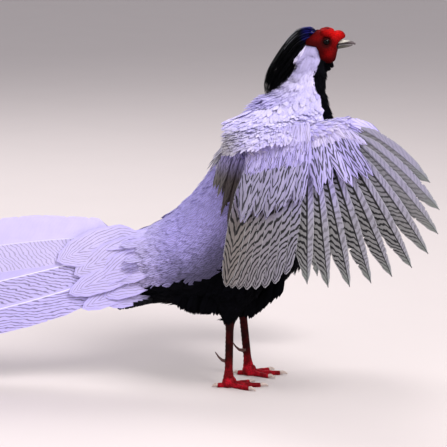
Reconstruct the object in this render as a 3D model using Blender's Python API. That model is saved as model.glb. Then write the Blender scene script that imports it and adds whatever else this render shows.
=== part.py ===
"""A cock silver pheasant, life size, standing with its wings held open and dropped forward in display.

Units are metres, +Z is up and the bird faces +X, so its right side is at -Y.
The body is shaped about a point on the floor between the feet, and then moved so that the
origin lies under the middle of the whole bird.
Each side-view shape is a list of sections: a point on the back, a point on the belly and a half width.
"""

import itertools
import math
import random
from operator import itemgetter

import bmesh
import bpy
from mathutils import Matrix, Vector

# Gap between pieces that touch
GAP = 0.0003

# Body sections from the tail root to the neck root: (back x, z), (belly x, z), half width
TORSO_SECTIONS = (
    ((-0.150, 0.238), (-0.142, 0.134), 0.036),
    ((-0.128, 0.247), (-0.113, 0.122), 0.047),
    ((-0.103, 0.264), (-0.074, 0.120), 0.056),
    ((-0.072, 0.293), (-0.028, 0.124), 0.063),
    ((-0.047, 0.326), (0.032, 0.130), 0.068),
    ((-0.024, 0.363), (0.086, 0.172), 0.070),
    ((-0.001, 0.397), (0.127, 0.248), 0.066),
    ((0.021, 0.422), (0.146, 0.335), 0.056),
    ((0.040, 0.436), (0.138, 0.400), 0.044),
)
NECK_SECTIONS = (
    ((0.040, 0.436), (0.138, 0.400), 0.044),
    ((0.059, 0.448), (0.127, 0.436), 0.032),
    ((0.076, 0.466), (0.124, 0.459), 0.0245),
    ((0.087, 0.485), (0.129, 0.480), 0.0205),
    ((0.092, 0.508), (0.128, 0.502), 0.0175),
)
HEAD_SECTIONS = (
    ((0.0860, 0.516), (0.0870, 0.502), 0.006),
    ((0.0915, 0.527), (0.0950, 0.488), 0.0130),
    ((0.1020, 0.5335), (0.1050, 0.481), 0.0168),
    ((0.1140, 0.5350), (0.1170, 0.4785), 0.0182),
    ((0.1260, 0.5325), (0.1290, 0.4840), 0.0172),
    ((0.1370, 0.5275), (0.1385, 0.4945), 0.0140),
    ((0.1450, 0.5220), (0.1455, 0.5035), 0.0100),
)
TORSO_RINGS, NECK_RINGS, HEAD_RINGS = 13, 6, 9
VENT_WEBS = (0.0085, 0.0085)
VENT_ROLL, VENT_STEP, VENT_CURL = 0.12, 0.0012, 2.0
BODY_SIDES = 18

# Bill: (top x, z), (bottom x, z), half width of each mandible
UPPER_BILL = (
    ((0.1390, 0.5225), (0.1390, 0.5095), 0.0072),
    ((0.1470, 0.5222), (0.1470, 0.5112), 0.0064),
    ((0.1560, 0.5208), (0.1560, 0.5126), 0.0050),
    ((0.1640, 0.5186), (0.1640, 0.5134), 0.0034),
    ((0.1705, 0.5150), (0.1700, 0.5122), 0.0012),
)
LOWER_BILL = (
    ((0.1390, 0.5090), (0.1390, 0.5030), 0.0066),
    ((0.1470, 0.5107), (0.1475, 0.5052), 0.0056),
    ((0.1560, 0.5121), (0.1565, 0.5080), 0.0042),
    ((0.1660, 0.5130), (0.1655, 0.5110), 0.0020),
)
BILL_SIDES = 10
NOSTRIL = Vector((0.1490, 0.0062, 0.5168))
NOSTRIL_SIZE = (0.0026, 0.0012, 0.0009)

# Eye and lids
EYE = Vector((0.1262, 0.0128, 0.5180))
EYE_RADIUS = 0.0060
LID_RING, LID_TUBE = 0.0056, 0.0011
SOCKET = (0.0071, 0.0085, 0.0063)

# Red face of one side: lobes as (centre x, y, z), (radius x, y, z)
WATTLE_LOBES = (
    ((0.1450, 0.0080, 0.5265), (0.0100, 0.0062, 0.0062)),
    ((0.1280, 0.0110, 0.5315), (0.0110, 0.0062, 0.0088)),
    ((0.1080, 0.0140, 0.5225), (0.0135, 0.0055, 0.0090)),
    ((0.1380, 0.0110, 0.5160), (0.0090, 0.0066, 0.0100)),
    ((0.1220, 0.0150, 0.5075), (0.0125, 0.0060, 0.0075)),
    ((0.1320, 0.0120, 0.4985), (0.0100, 0.0068, 0.0125)),
)

# Crest: the path of its top lock and of its lowest one, in side view
CREST_TOP = (
    (0.118, 0.528),
    (0.104, 0.540),
    (0.082, 0.534),
    (0.060, 0.509),
    (0.042, 0.479),
    (0.036, 0.456),
    (0.039, 0.437),
)
CREST_LOW = (
    (0.098, 0.520),
    (0.089, 0.508),
    (0.079, 0.492),
    (0.068, 0.477),
    (0.058, 0.464),
    (0.050, 0.452),
    (0.044, 0.441),
)
CREST_LAYERS, CREST_ROW = 4, 5
CREST_WIDTH, CREST_THICK = 0.0080, 0.0008
CREST_SPREAD = 0.0145
CREST_CORE_STATIONS = (0.02, 0.14, 0.28, 0.42)
CREST_CORE_RADII = ((0.008, 0.008), (0.013, 0.012), (0.012, 0.011), (0.005, 0.004))
LOCK_ROLL = 0.30
LOCK_WIDTHS = ((0.03, 0.60), (0.24, 1.0), (0.48, 1.0), (0.74, 0.70), (1.0, 0.12))

# Legs, right and left: hip, knee and hock as middles of the feathered thigh, and the toe joint
LEG_Y = 0.035
THIGH_PATH = (
    (0.020, 0.026, 0.212),
    (0.002, 0.043, 0.168),
    (-0.010, 0.041, 0.131),
    (-0.015, 0.0355, 0.1030),
)
THIGH_RINGS, THIGH_SIDES = 9, 14
THIGH_RADII = ((0.046, 0.028), (0.042, 0.029), (0.025, 0.0205), (0.0095, 0.0085))
HOCK_HEIGHT, FOOT_HEIGHT = 0.1027, 0.0150
SHANK_TOP_X = {-1: -0.015, 1: 0.004}
SHANK_FOOT_X = {-1: -0.017, 1: 0.014}
SHANK_RADII = (0.0058, 0.0045)
SCUTES = 8
SCUTE_RAISE = 0.0006
TOE_LENGTHS = (0.036, 0.048, 0.037, 0.017)
TOE_ANGLES = (32, 0, -34, 188)
TOE_RADIUS = 0.0043
TOE_SCUTES = (3, 4, 3, 2)
CLAW_LENGTH, CLAW_RADIUS, CLAW_SIDES = 0.0110, 0.0026, 6
SPUR_LENGTH, SPUR_RADIUS, SPUR_HEIGHT = 0.021, 0.0034, 0.041

# Wings: shoulder, then elbow, wrist and hand tip of each, on the +Y side. The angles of their flight
# feathers are in degrees from straight down, positive towards the bill, from the inner one outwards.
SHOULDER = Vector((0.070, 0.050, 0.345))
ARM = {
    -1: (Vector((0.016, 0.096, 0.378)), Vector((0.092, 0.118, 0.400)), Vector((0.148, 0.134, 0.416))),
    1: (Vector((0.016, 0.092, 0.342)), Vector((0.084, 0.112, 0.355)), Vector((0.132, 0.126, 0.363))),
}
HAND_ANGLES = {-1: (0.0, 56.0), 1: (-8.5, 20.0)}
ARM_ANGLES = {-1: (-11.0, -5.5), 1: (-19.0, -13.5)}
ARM_RADII = (0.020, 0.0165, 0.0125, 0.0085)
PRIMARIES, SECONDARIES = 10, 8
PRIMARY_LENGTH, SECONDARY_LENGTH = 0.232, 0.206
INNER_SHORTENING, OUTER_SHORTENING = 0.06, 0.37
TERTIAL_LENGTH, TERTIAL_ANGLES, TERTIAL_ROLL = 0.115, (-30, -40, -50), 0.1
FLARE = 0.17
BOWING = 0.013
FEATHER_ROLL = {-1: math.radians(8.5), 1: math.radians(10.5)}
PRIMARY_WEBS, SECONDARY_WEBS = (0.0200, 0.0115), (0.0205, 0.0145)
COVERT_TIERS = (
    ("greater_covert", (0.2, 1.6, 3.0, 4.4, 5.7, 6.9), 0.52, 0.0046, (0.0125, 0.0105)),
    ("primary_covert", (8.3, 9.8, 11.3, 12.8, 14.3, 15.9), 0.36, 0.0046, (0.0105, 0.0085)),
    ("median_covert", (0.8, 2.4, 4.0, 5.5, 6.9), 0.34, 0.0088, (0.0120, 0.0110)),
    ("alula", (8.9, 10.4), 0.27, 0.0088, (0.0080, 0.0065)),
)
VANE_THICK = 0.0006
RIB = 0.0003
# How fast a feather's upper side curls down along its length, in radians a metre
CURL = 0.9

# Tail: rectrices of one side, from the middle pair outwards and down
RECTRICES = 8
TAIL_LENGTHS = (0.640, 0.595, 0.525, 0.455, 0.395, 0.340, 0.295, 0.255)
TAIL_ROOT = (-0.176, 0.219)
TAIL_ROOT_DROP = 0.0105
TAIL_RISE, TAIL_FALL = 10.0, -10.0
TAIL_SAG = 0.58
TAIL_WIDTH = 0.060
TAIL_CORE = (
    ((-0.1503, 0.238), (-0.1425, 0.138), 0.035),
    ((-0.170, 0.232), (-0.163, 0.139), 0.027),
    ((-0.196, 0.229), (-0.190, 0.144), 0.020),
    ((-0.222, 0.228), (-0.216, 0.160), 0.011),
)

MATERIALS = {
    "plumage_white": ((0.80, 0.77, 0.90, 1), 0.75),
    "plumage_black": ((0.010, 0.010, 0.014, 1), 0.60),
    "face_skin": ((0.45, 0.01, 0.01, 1), 0.55),
    "leg_skin": ((0.50, 0.02, 0.02, 1), 0.45),
    "bill_horn": ((0.52, 0.50, 0.36, 1), 0.35),
    "claw_horn": ((0.62, 0.53, 0.48, 1), 0.40),
    "eye_gloss": ((0.012, 0.006, 0.004, 1), 0.05),
}


def clear_scene():
    for obj in list(bpy.data.objects):
        bpy.data.objects.remove(obj, do_unlink=True)


def material(name):
    found = bpy.data.materials.get(name)
    if found:
        return found
    made = bpy.data.materials.new(name)
    made.use_nodes = True
    shader = made.node_tree.nodes["Principled BSDF"]
    colour, roughness = MATERIALS[name]
    shader.inputs["Base Color"].default_value = colour
    shader.inputs["Roughness"].default_value = roughness
    shader.inputs["Metallic"].default_value = 0.0
    return made


def mesh_object(name, points, faces, slot):
    """A closed mesh with its faces pointing out."""
    mesh = bpy.data.meshes.new(name)
    mesh.from_pydata([tuple(p) for p in points], [], faces)
    shape = bmesh.new()
    shape.from_mesh(mesh)
    bmesh.ops.recalc_face_normals(shape, faces=shape.faces)
    shape.to_mesh(mesh)
    shape.free()
    mesh.materials.append(material(slot))
    obj = bpy.data.objects.new(name, mesh)
    bpy.context.scene.collection.objects.link(obj)
    return obj


def lerp(a, b, t):
    return a + (b - a) * t


def smooth(t):
    t = min(1.0, max(0.0, t))
    return t * t * (3 - 2 * t)


def spline(values, t):
    """Catmull-Rom through the vectors in values, for t from 0 to 1."""
    last = len(values) - 1
    at = min(max(t, 0.0), 1.0) * last
    i = min(int(at), last - 1)
    f = at - i
    p1, p2 = values[i], values[i + 1]
    p0 = values[i - 1] if i else p1 * 2 - p2
    p3 = values[i + 2] if i + 2 <= last else p2 * 2 - p1
    return 0.5 * (
        2 * p1
        + (p2 - p0) * f
        + (2 * p0 - 5 * p1 + 4 * p2 - p3) * f * f
        + (3 * p1 - p0 - 3 * p2 + p3) * f * f * f
    )


def section_rings(sections, rings, sides, squareness=1.0):
    """Rings of points round the sections, smoothly joined. A squareness under 1 fills out the corners."""
    top = [Vector((a[0], 0, a[1])) for a, _, _ in sections]
    low = [Vector((b[0], 0, b[1])) for _, b, _ in sections]
    wide = [Vector((w, 0, 0)) for _, _, w in sections]
    made = []
    for i in range(rings):
        t = i / (rings - 1)
        back, belly, half = spline(top, t), spline(low, t), spline(wide, t).x
        middle, reach = (back + belly) / 2, (back - belly) / 2
        ring = []
        for k in range(sides):
            turn = 2 * math.pi * k / sides
            c, s = math.cos(turn), math.sin(turn)
            c = math.copysign(abs(c) ** squareness, c)
            s = math.copysign(abs(s) ** squareness, s)
            ring.append(middle + reach * c + Vector((0, half * s, 0)))
        made.append(ring)
    return made


def tube(name, rings, slot):
    """A closed tube of triangles through the rings, with its ends fanned from their middles."""
    points, faces = [], []
    sides = len(rings[0])
    for ring in rings:
        points += ring
    for i in range(len(rings) - 1):
        for k in range(sides):
            a, b = i * sides + k, i * sides + (k + 1) % sides
            c, d = b + sides, a + sides
            faces += [(a, b, c), (a, c, d)]
    for start, ring in ((0, rings[0]), ((len(rings) - 1) * sides, rings[-1])):
        points.append(sum(ring, Vector()) / sides)
        hub = len(points) - 1
        faces += [(start + k, start + (k + 1) % sides, hub) for k in range(sides)]
    return mesh_object(name, points, faces, slot)


def round_rings(path, radii, sides):
    """Rings square to a path. radii holds an in-plane and a sideways radius for each point."""
    rings = []
    for i, point in enumerate(path):
        ahead = path[min(i + 1, len(path) - 1)] - path[max(i - 1, 0)]
        ahead.normalize()
        side = Vector((0, 1, 0)) if abs(ahead.y) < 0.9 else Vector((1, 0, 0))
        up = ahead.cross(side).normalized()
        side = up.cross(ahead).normalized()
        r_up, r_side = radii[i]
        rings.append(
            [
                point
                + up * (r_up * math.cos(2 * math.pi * k / sides))
                + side * (r_side * math.sin(2 * math.pi * k / sides))
                for k in range(sides)
            ]
        )
    return rings


def direction(tilt, turn):
    """The way tilt from straight up, turned about Z."""
    return Vector((math.sin(tilt) * math.cos(turn), math.sin(tilt) * math.sin(turn), math.cos(tilt)))


def ball(name, centre, radii, slot, around=12, up=8):
    """An ellipsoid of triangles with its poles on Z."""
    points, faces = [Vector((0, 0, 1))], []
    for i in range(1, up):
        tilt = math.pi * i / up
        for k in range(around):
            turn = 2 * math.pi * k / around
            points.append(direction(tilt, turn))
    points.append(Vector((0, 0, -1)))
    for k in range(around):
        after = (k + 1) % around
        faces.append((0, 1 + k, 1 + after))
        for i in range(up - 2):
            a, b = 1 + i * around + k, 1 + i * around + after
            faces += [(a, a + around, b + around), (a, b + around, b)]
        low = 1 + (up - 2) * around
        faces.append((len(points) - 1, low + after, low + k))
    placed = [
        Vector(centre) + Vector((p.x * radii[0], p.y * radii[1], p.z * radii[2])) for p in points
    ]
    return mesh_object(name, placed, faces, slot)


def hull(name, spheres, slot, around=10, up=6):
    """The convex hull of some spheres, given as (centre, radius)."""
    shape = bmesh.new()
    for centre, radius in spheres:
        for i in range(up + 1):
            tilt = math.pi * i / up
            for k in range(around if 0 < i < up else 1):
                turn = 2 * math.pi * k / around
                shape.verts.new(centre + direction(tilt, turn) * radius)
    made = bmesh.ops.convex_hull(shape, input=shape.verts)
    inside = [v for v in made["geom_interior"] if isinstance(v, bmesh.types.BMVert)]
    bmesh.ops.delete(shape, geom=inside, context="VERTS")
    bmesh.ops.triangulate(shape, faces=shape.faces)
    points = [v.co.copy() for v in shape.verts]
    index = {v: i for i, v in enumerate(shape.verts)}
    faces = [tuple(index[v] for v in f.verts) for f in shape.faces]
    shape.free()
    return mesh_object(name, points, faces, slot)


def box(name, low, high):
    points = [Vector(corner) for corner in itertools.product(*zip(low, high))]
    faces = [(0, 1, 3, 2), (4, 6, 7, 5), (0, 4, 5, 1), (2, 3, 7, 6), (0, 2, 6, 4), (1, 5, 7, 3)]
    return mesh_object(name, points, faces, "plumage_white")


def remove(obj):
    mesh = obj.data
    bpy.data.objects.remove(obj, do_unlink=True)
    if mesh.users == 0:
        bpy.data.meshes.remove(mesh)


def apply_modifiers(obj):
    graph = bpy.context.evaluated_depsgraph_get()
    mesh = bpy.data.meshes.new_from_object(obj.evaluated_get(graph))
    obj.modifiers.clear()
    obj.data = mesh


def keep_largest(obj):
    """Leaves only the closed surface with the most volume."""
    shape = bmesh.new()
    shape.from_mesh(obj.data)
    bmesh.ops.remove_doubles(shape, verts=shape.verts, dist=1e-7)
    left = set(shape.faces)
    groups = []
    while left:
        queue = [left.pop()]
        group = []
        while queue:
            face = queue.pop()
            group.append(face)
            for edge in face.edges:
                for near in edge.link_faces:
                    if near in left:
                        left.remove(near)
                        queue.append(near)
        size = sum(
            f.verts[0].co.dot(f.verts[i].co.cross(f.verts[i + 1].co))
            for f in group
            for i in range(1, len(f.verts) - 1)
        )
        groups.append((abs(size), group))
    groups.sort(key=itemgetter(0))
    for _, group in groups[:-1]:
        bmesh.ops.delete(shape, geom=group, context="FACES")
    loose = [v for v in shape.verts if not v.link_faces]
    bmesh.ops.delete(shape, geom=loose, context="VERTS")
    bmesh.ops.triangulate(shape, faces=shape.faces)
    shape.to_mesh(obj.data)
    shape.free()


def fuse(pieces, name, solver="MANIFOLD"):
    """Joins closed pieces that cross one another into one closed body."""
    base, others = pieces[0], pieces[1:]
    base.name = name
    group = bpy.data.collections.new(name + "_pieces")
    bpy.context.scene.collection.children.link(group)
    for piece in others:
        bpy.context.scene.collection.objects.unlink(piece)
        group.objects.link(piece)
    union = base.modifiers.new("union", "BOOLEAN")
    union.operation = "UNION"
    union.operand_type = "COLLECTION"
    union.collection = group
    union.solver = solver
    apply_modifiers(base)
    for piece in others:
        remove(piece)
    bpy.data.collections.remove(group)
    keep_largest(base)
    return base


def cut(obj, cutters, solver="MANIFOLD"):
    """Takes the cutters away from obj, and removes them."""
    for cutter in cutters:
        take = obj.modifiers.new("cut", "BOOLEAN")
        take.operation = "DIFFERENCE"
        take.object = cutter
        take.solver = solver
        apply_modifiers(obj)
        remove(cutter)
    keep_largest(obj)
    return obj


def swollen(obj, gap=GAP):
    """A copy of obj grown by gap on every side, to cut its neighbour with."""
    copy = obj.copy()
    copy.data = obj.data.copy()
    bpy.context.scene.collection.objects.link(copy)
    shape = bmesh.new()
    shape.from_mesh(copy.data)
    shape.normal_update()
    moved = []
    for vert in shape.verts:
        sharpest = min((vert.normal.dot(f.normal) for f in vert.link_faces), default=1.0)
        moved.append((vert, vert.co + vert.normal * (gap / max(0.5, sharpest))))
    for vert, place in moved:
        vert.co = place
    shape.to_mesh(copy.data)
    shape.free()
    return copy


NO_BEND = Vector((0.0, 0.0, 0.0))

# Share of a feather's full half width at each share of its length
FLIGHT_WIDTHS = ((0.0, 0.16), (0.15, 0.26), (0.42, 0.94), (0.80, 0.90), (1.0, 0.12))
COVERT_WIDTHS = ((0.0, 0.26), (0.42, 0.92), (0.78, 0.96), (1.0, 0.16))
TAIL_WIDTHS = (
    (0.0, 0.12),
    (0.11, 0.30),
    (0.28, 1.0),
    (0.50, 0.96),
    (0.72, 0.74),
    (0.90, 0.40),
    (1.0, 0.08),
)


def vane(
    name,
    root,
    tip,
    across,
    facing,
    webs,
    widths,
    slot,
    roll=0.0,
    lift=0.0,
    bend=NO_BEND,
    curl=CURL,
    reach=None,
    shaft=True,
):
    """One feather, as a thin closed strip with a raised shaft.

    across points to the side of its outer web and facing to the side that its upper face looks to.
    webs holds the full widths of the inner and the outer web. roll lifts the outer web, lift raises
    the whole feather, and bend is how far its middle stands off the chord. It arches up and curls down
    again at reach, the length that every feather of its tier shares, so that neighbours nest.
    The faces of both sides are split alike. A feather without a raised shaft has four corners to a
    section in place of six.
    """
    along = tip - root
    length = along.length
    along.normalize()
    side = (across - along * across.dot(along)).normalized()
    up = along.cross(side)
    if up.dot(facing) < 0:
        up = -up
    reach = reach or length
    inner, outer = webs
    points, faces = [], []
    for t, share in widths:
        r = length * t
        middle = root + along * r + up * (lift + curl / 2 * r * (reach - r)) + bend * (4 * t * (1 - t))
        ahead = along * length + up * (curl * length * (reach / 2 - r)) + bend * (4 - 8 * t)
        ahead.normalize()
        here_side = (side - ahead * side.dot(ahead)).normalized()
        here_up = (up - ahead * up.dot(ahead) - here_side * up.dot(here_side)).normalized()
        web = here_side * math.cos(roll) + here_up * math.sin(roll)
        face = here_up * math.cos(roll) - here_side * math.sin(roll)
        half = VANE_THICK / 2
        rib = half + RIB * (1 - 0.7 * t)
        low, high = middle - web * (inner * share), middle + web * (outer * share)
        points += [low + face * half, high + face * half, high - face * half, low - face * half]
        if shaft:
            points += [middle + face * rib, middle - face * rib]
    row = 6 if shaft else 4
    upper, lower = ((0, 4, 1), (3, 5, 2)) if shaft else ((0, 1), (3, 2))
    for i in range(len(widths) - 1):
        a, b = row * i, row * i + row
        for strip in (upper, lower, (1, 2), (3, 0)):
            for c, d in zip(strip, strip[1:]):
                faces += [(a + c, a + d, b + d), (a + c, b + d, b + c)]
    for a in (0, row * (len(widths) - 1)):
        for c, d, e, f in zip(upper, upper[1:], lower[1:], lower):
            faces += [(a + c, a + d, a + e), (a + c, a + e, a + f)]
    return mesh_object(name, points, faces, slot)


def torso():
    rings = section_rings(TORSO_SECTIONS, TORSO_RINGS, BODY_SIDES)
    body = tube("torso", rings, "plumage_white")
    # black feathers under the tail, rooted in the rear of the belly
    pieces = [body]
    for i in range(-2, 3):
        root = Vector((-0.100 - 0.005 * abs(i), 0.0125 * i, 0.137 + 0.0020 * abs(i)))
        tip = Vector((-0.190 + 0.011 * abs(i), 0.0095 * i, 0.1165 + 0.0022 * abs(i)))
        pieces.append(
            vane(
                f"vent_{i}",
                root,
                tip,
                Vector((0, 1, 0)),
                Vector((0, 0, -1)),
                VENT_WEBS,
                COVERT_WIDTHS,
                "plumage_black",
                roll=VENT_ROLL,
                lift=VENT_STEP * (2 - abs(i)),
                curl=VENT_CURL,
                shaft=False,
            )
        )
    return fuse(pieces, "torso")


def neck():
    rings = section_rings(NECK_SECTIONS, NECK_RINGS, BODY_SIDES)
    back, belly = TORSO_SECTIONS[-1][0], TORSO_SECTIONS[-1][1]
    along = Vector((belly[1] - back[1], 0, back[0] - belly[0])).normalized()
    if along.z < 0:
        along = -along
    rings[0] = [p + along * GAP for p in rings[0]]
    return tube("neck", rings, "plumage_white")


def head(eyes):
    """The head with its red wattles as soft lobes, sunk round each eye, and the rim of the lids."""
    face = []
    for sign in (-1, 1):
        lobes = [
            ball(f"lobe_{i}", (x, sign * y, z), size, "face_skin", 8, 5)
            for i, ((x, y, z), size) in enumerate(WATTLE_LOBES)
        ]
        socket = ball("socket", (EYE.x, sign * (EYE.y + 0.004), EYE.z), SOCKET, "face_skin", 12, 6)
        face.append(cut(fuse(lobes, f"wattle_{sign}"), [socket]))
        face.append(lid_ring(f"lid_{sign}", Vector((EYE.x, sign * (EYE.y + 0.0032), EYE.z)), sign))
    skull = tube("head", section_rings(HEAD_SECTIONS, HEAD_RINGS, 16), "face_skin")
    return cut(fuse([skull, *face], "head"), [swollen(e) for e in eyes])


def lid_ring(name, centre, sign, around=12, sides=4):
    """The rim of both lids: a ring round the eye, almond shaped and closed a little at the top."""
    points, faces = [], []
    for i in range(around):
        turn = 2 * math.pi * i / around
        out = Vector((math.cos(turn), 0, 0.86 * math.sin(turn)))
        spine = centre + out * LID_RING + Vector((0, -sign * 0.0012 * abs(math.cos(turn)), 0))
        for k in range(sides):
            a = 2 * math.pi * k / sides
            points.append(
                spine + out * (LID_TUBE * math.cos(a)) + Vector((0, sign * LID_TUBE * 1.6 * math.sin(a), 0))
            )
    for i in range(around):
        for k in range(sides):
            a, b = i * sides + k, i * sides + (k + 1) % sides
            c, d = ((i + 1) % around) * sides + (k + 1) % sides, ((i + 1) % around) * sides + k
            faces += [(a, b, c), (a, c, d)]
    return mesh_object(name, points, faces, "face_skin")


def eyes():
    return [
        ball(name, (EYE.x, sign * EYE.y, EYE.z), (EYE_RADIUS,) * 3, "eye_gloss", 12, 6)
        for name, sign in (("eye_right", -1), ("eye_left", 1))
    ]


def bill(skull):
    upper = tube("bill_upper", section_rings(UPPER_BILL, 8, BILL_SIDES, 0.85), "bill_horn")
    lower = tube("bill_lower", section_rings(LOWER_BILL, 7, BILL_SIDES, 0.85), "bill_horn")
    pits = [
        ball(f"nostril_{sign}", (NOSTRIL.x, sign * NOSTRIL.y, NOSTRIL.z), NOSTRIL_SIZE, "bill_horn", 8, 6)
        for sign in (-1, 1)
    ]
    cut(upper, [swollen(skull), *pits])
    cut(lower, [swollen(skull), swollen(upper)])
    return upper, lower


def crest_point(t, inward):
    """A point of the crest in side view: t along it, and inward from its top line to its lowest one."""
    top = [Vector((x, 0, z)) for x, z in CREST_TOP]
    low = [Vector((x, 0, z)) for x, z in CREST_LOW]
    return spline(top, t).lerp(spline(low, t), inward)


def crest_core(name):
    path = [crest_point(t, 0.5) for t in CREST_CORE_STATIONS]
    return tube(name, round_rings(path, CREST_CORE_RADII, 10), "plumage_black")


def crest(neighbours):
    """Long narrow feathers from the crown, which arch back and hang behind the neck."""
    locks = [crest_core("crest")]
    random.seed(7)
    for layer in range(CREST_LAYERS):
        depth = layer / (CREST_LAYERS - 1)
        count = CREST_ROW - layer % 2
        for k in range(count):
            locks.append(crest_lock(f"lock_{layer}_{k}", depth, (k + 0.5) / count * 2 - 1))
    return cut(fuse(locks, "crest"), [swollen(n) for n in neighbours])


def crest_lock(name, depth, aside):
    """A flat tapered lock at depth 0 (top) to 1 (lowest) and aside -1 (right) to 1 (left)."""
    reach = random.uniform(0.92, 1.0) * (1 - 0.10 * abs(aside))
    inward = depth + 0.12 * aside * aside * (1 - depth)
    line, points, faces = [], [], []
    for t, _ in LOCK_WIDTHS:
        at = crest_point(t * reach, inward)
        aside_here = aside
        if t < LOCK_WIDTHS[1][0]:
            at = at.lerp(crest_point(0.12, 0.5), 0.7)
            aside_here = 0.4 * aside
        at.y = CREST_SPREAD * aside_here * (0.60 + 0.50 * math.sin(math.pi * t) - 0.15 * t)
        line.append(at)
    for i, (_, share) in enumerate(LOCK_WIDTHS):
        ahead = (line[min(i + 1, len(line) - 1)] - line[max(i - 1, 0)]).normalized()
        flat = Vector((0, 1, 0))
        across = flat * math.cos(LOCK_ROLL) + ahead.cross(flat) * math.sin(LOCK_ROLL)
        across = (across - ahead * across.dot(ahead)).normalized()
        face = ahead.cross(across).normalized() * (CREST_THICK / 2)
        across *= CREST_WIDTH / 2 * share
        low, high = line[i] - across, line[i] + across
        points += [low + face, high + face, high - face, low - face]
    for i in range(len(line) - 1):
        a, b = 4 * i, 4 * i + 4
        for c, d in ((0, 1), (1, 2), (3, 0)):
            faces += [(a + c, a + d, b + d), (a + c, b + d, b + c)]
        faces += [(a + 2, b + 3, b + 2), (a + 2, a + 3, b + 3)]
    for a in (0, 4 * (len(line) - 1)):
        faces += [(a, a + 1, a + 2), (a, a + 2, a + 3)]
    return mesh_object(name, points, faces, "plumage_black")


def thigh(name, sign, neighbours):
    shift = SHANK_TOP_X[sign] - SHANK_TOP_X[-1]
    path = []
    for i, (x, y, z) in enumerate(THIGH_PATH):
        path.append(Vector((x + shift * i / (len(THIGH_PATH) - 1), sign * y, z)))
    rings = []
    for i in range(THIGH_RINGS):
        t = i / (THIGH_RINGS - 1)
        middle = spline(path, t)
        size = spline([Vector((a, b, 0)) for a, b in THIGH_RADII], t)
        ring = []
        for k in range(THIGH_SIDES):
            turn = 2 * math.pi * k / THIGH_SIDES
            ring.append(middle + Vector((size.x * math.cos(turn), size.y * math.sin(turn), 0)))
        rings.append(ring)
    made = tube(name, rings, "plumage_black")
    return cut(made, [swollen(n) for n in neighbours])


def shank(name, sign):
    """The bare leg: rings of scutes that stand a little proud at the front."""
    sides = 8
    top = HOCK_HEIGHT - GAP
    bottom = FOOT_HEIGHT + GAP / 2
    rings = []
    for i in range(2 * SCUTES + 1):
        t = i / (2 * SCUTES)
        z = lerp(top, bottom, t)
        x = lerp(SHANK_TOP_X[sign], SHANK_FOOT_X[sign], t)
        ends = 1 + 0.34 * (1 - smooth(t / 0.22)) + 0.42 * smooth((t - 0.78) / 0.22)
        step = SCUTE_RAISE if i % 2 else 0.0
        ring = []
        for k in range(sides):
            turn = 2 * math.pi * k / sides
            front = max(0.0, math.cos(turn))
            reach_x = SHANK_RADII[0] * ends + step * front
            reach_y = SHANK_RADII[1] * ends + step * front
            ring.append(
                Vector((x + reach_x * math.cos(turn), sign * LEG_Y + reach_y * math.sin(turn), z))
            )
        rings.append(ring)
    return tube(name, rings, "leg_skin")


def spur(name, sign, leg):
    """A short thorn on the back of the leg, which dips and then turns up to its point."""
    root_x = lerp(SHANK_FOOT_X[sign], SHANK_TOP_X[sign], SPUR_HEIGHT / HOCK_HEIGHT)
    root = Vector((root_x, sign * (LEG_Y - 0.0015), SPUR_HEIGHT))
    path, radii = [], []
    for i in range(5):
        t = i / 4
        rise = 0.012 * t * t - 0.0035 * math.sin(math.pi * t)
        path.append(root + Vector((-SPUR_LENGTH * t, -sign * 0.003 * t, rise)))
        radii.append((SPUR_RADIUS * (1 - 0.9 * t),) * 2)
    return cut(tube(name, round_rings(path, radii, 6), "claw_horn"), [swollen(leg)])


def toe_frame(sign, index):
    heading = math.radians(TOE_ANGLES[index] * (-sign))
    return Vector((math.cos(heading), math.sin(heading), 0))


def foot(name, sign):
    """Toes with scutes across their tops, fused at the ball of the foot and flat where they stand."""
    centre = Vector((SHANK_FOOT_X[sign], sign * LEG_Y, 0))
    pieces = [
        ball(name, centre + Vector((0.001, 0, 0.0075)), (0.0105, 0.0092, 0.0108), "leg_skin", 14, 8)
    ]
    sides = 8
    for index, length in enumerate(TOE_LENGTHS):
        way = toe_frame(sign, index)
        aside = Vector((-way.y, way.x, 0))
        count = TOE_SCUTES[index]
        rings = []
        for i in range(2 * count + 1):
            t = i / (2 * count)
            radius = TOE_RADIUS * (1 - 0.30 * t) * (1 + 0.07 * math.cos(2 * math.pi * t * 3))
            raised = SCUTE_RAISE if i % 2 else 0.0
            height = toe_height(t, radius)
            ring = []
            for k in range(sides):
                turn = 2 * math.pi * (k + 0.5) / sides
                lift = max(0.0, math.sin(turn))
                ring.append(
                    centre + way * (length * t)
                    + aside * (radius * math.cos(turn))
                    + Vector((0, 0, height + (radius + raised * lift) * math.sin(turn)))
                )
            rings.append(ring)
        pieces.append(tube(f"{name}_toe_{index}", rings, "leg_skin"))
    whole = fuse(pieces, name)
    below = box("below", (-1, -1, -1), (1, 1, 0))
    above = box("above", (-1, -1, FOOT_HEIGHT - GAP / 2), (1, 1, 1))
    return cut(whole, [below, above])


def toe_height(t, radius):
    """The middle of a toe above the floor: its sole presses flat along its whole length."""
    return radius * 0.82 + 0.0035 * (1 - smooth(t / 0.35))


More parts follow.
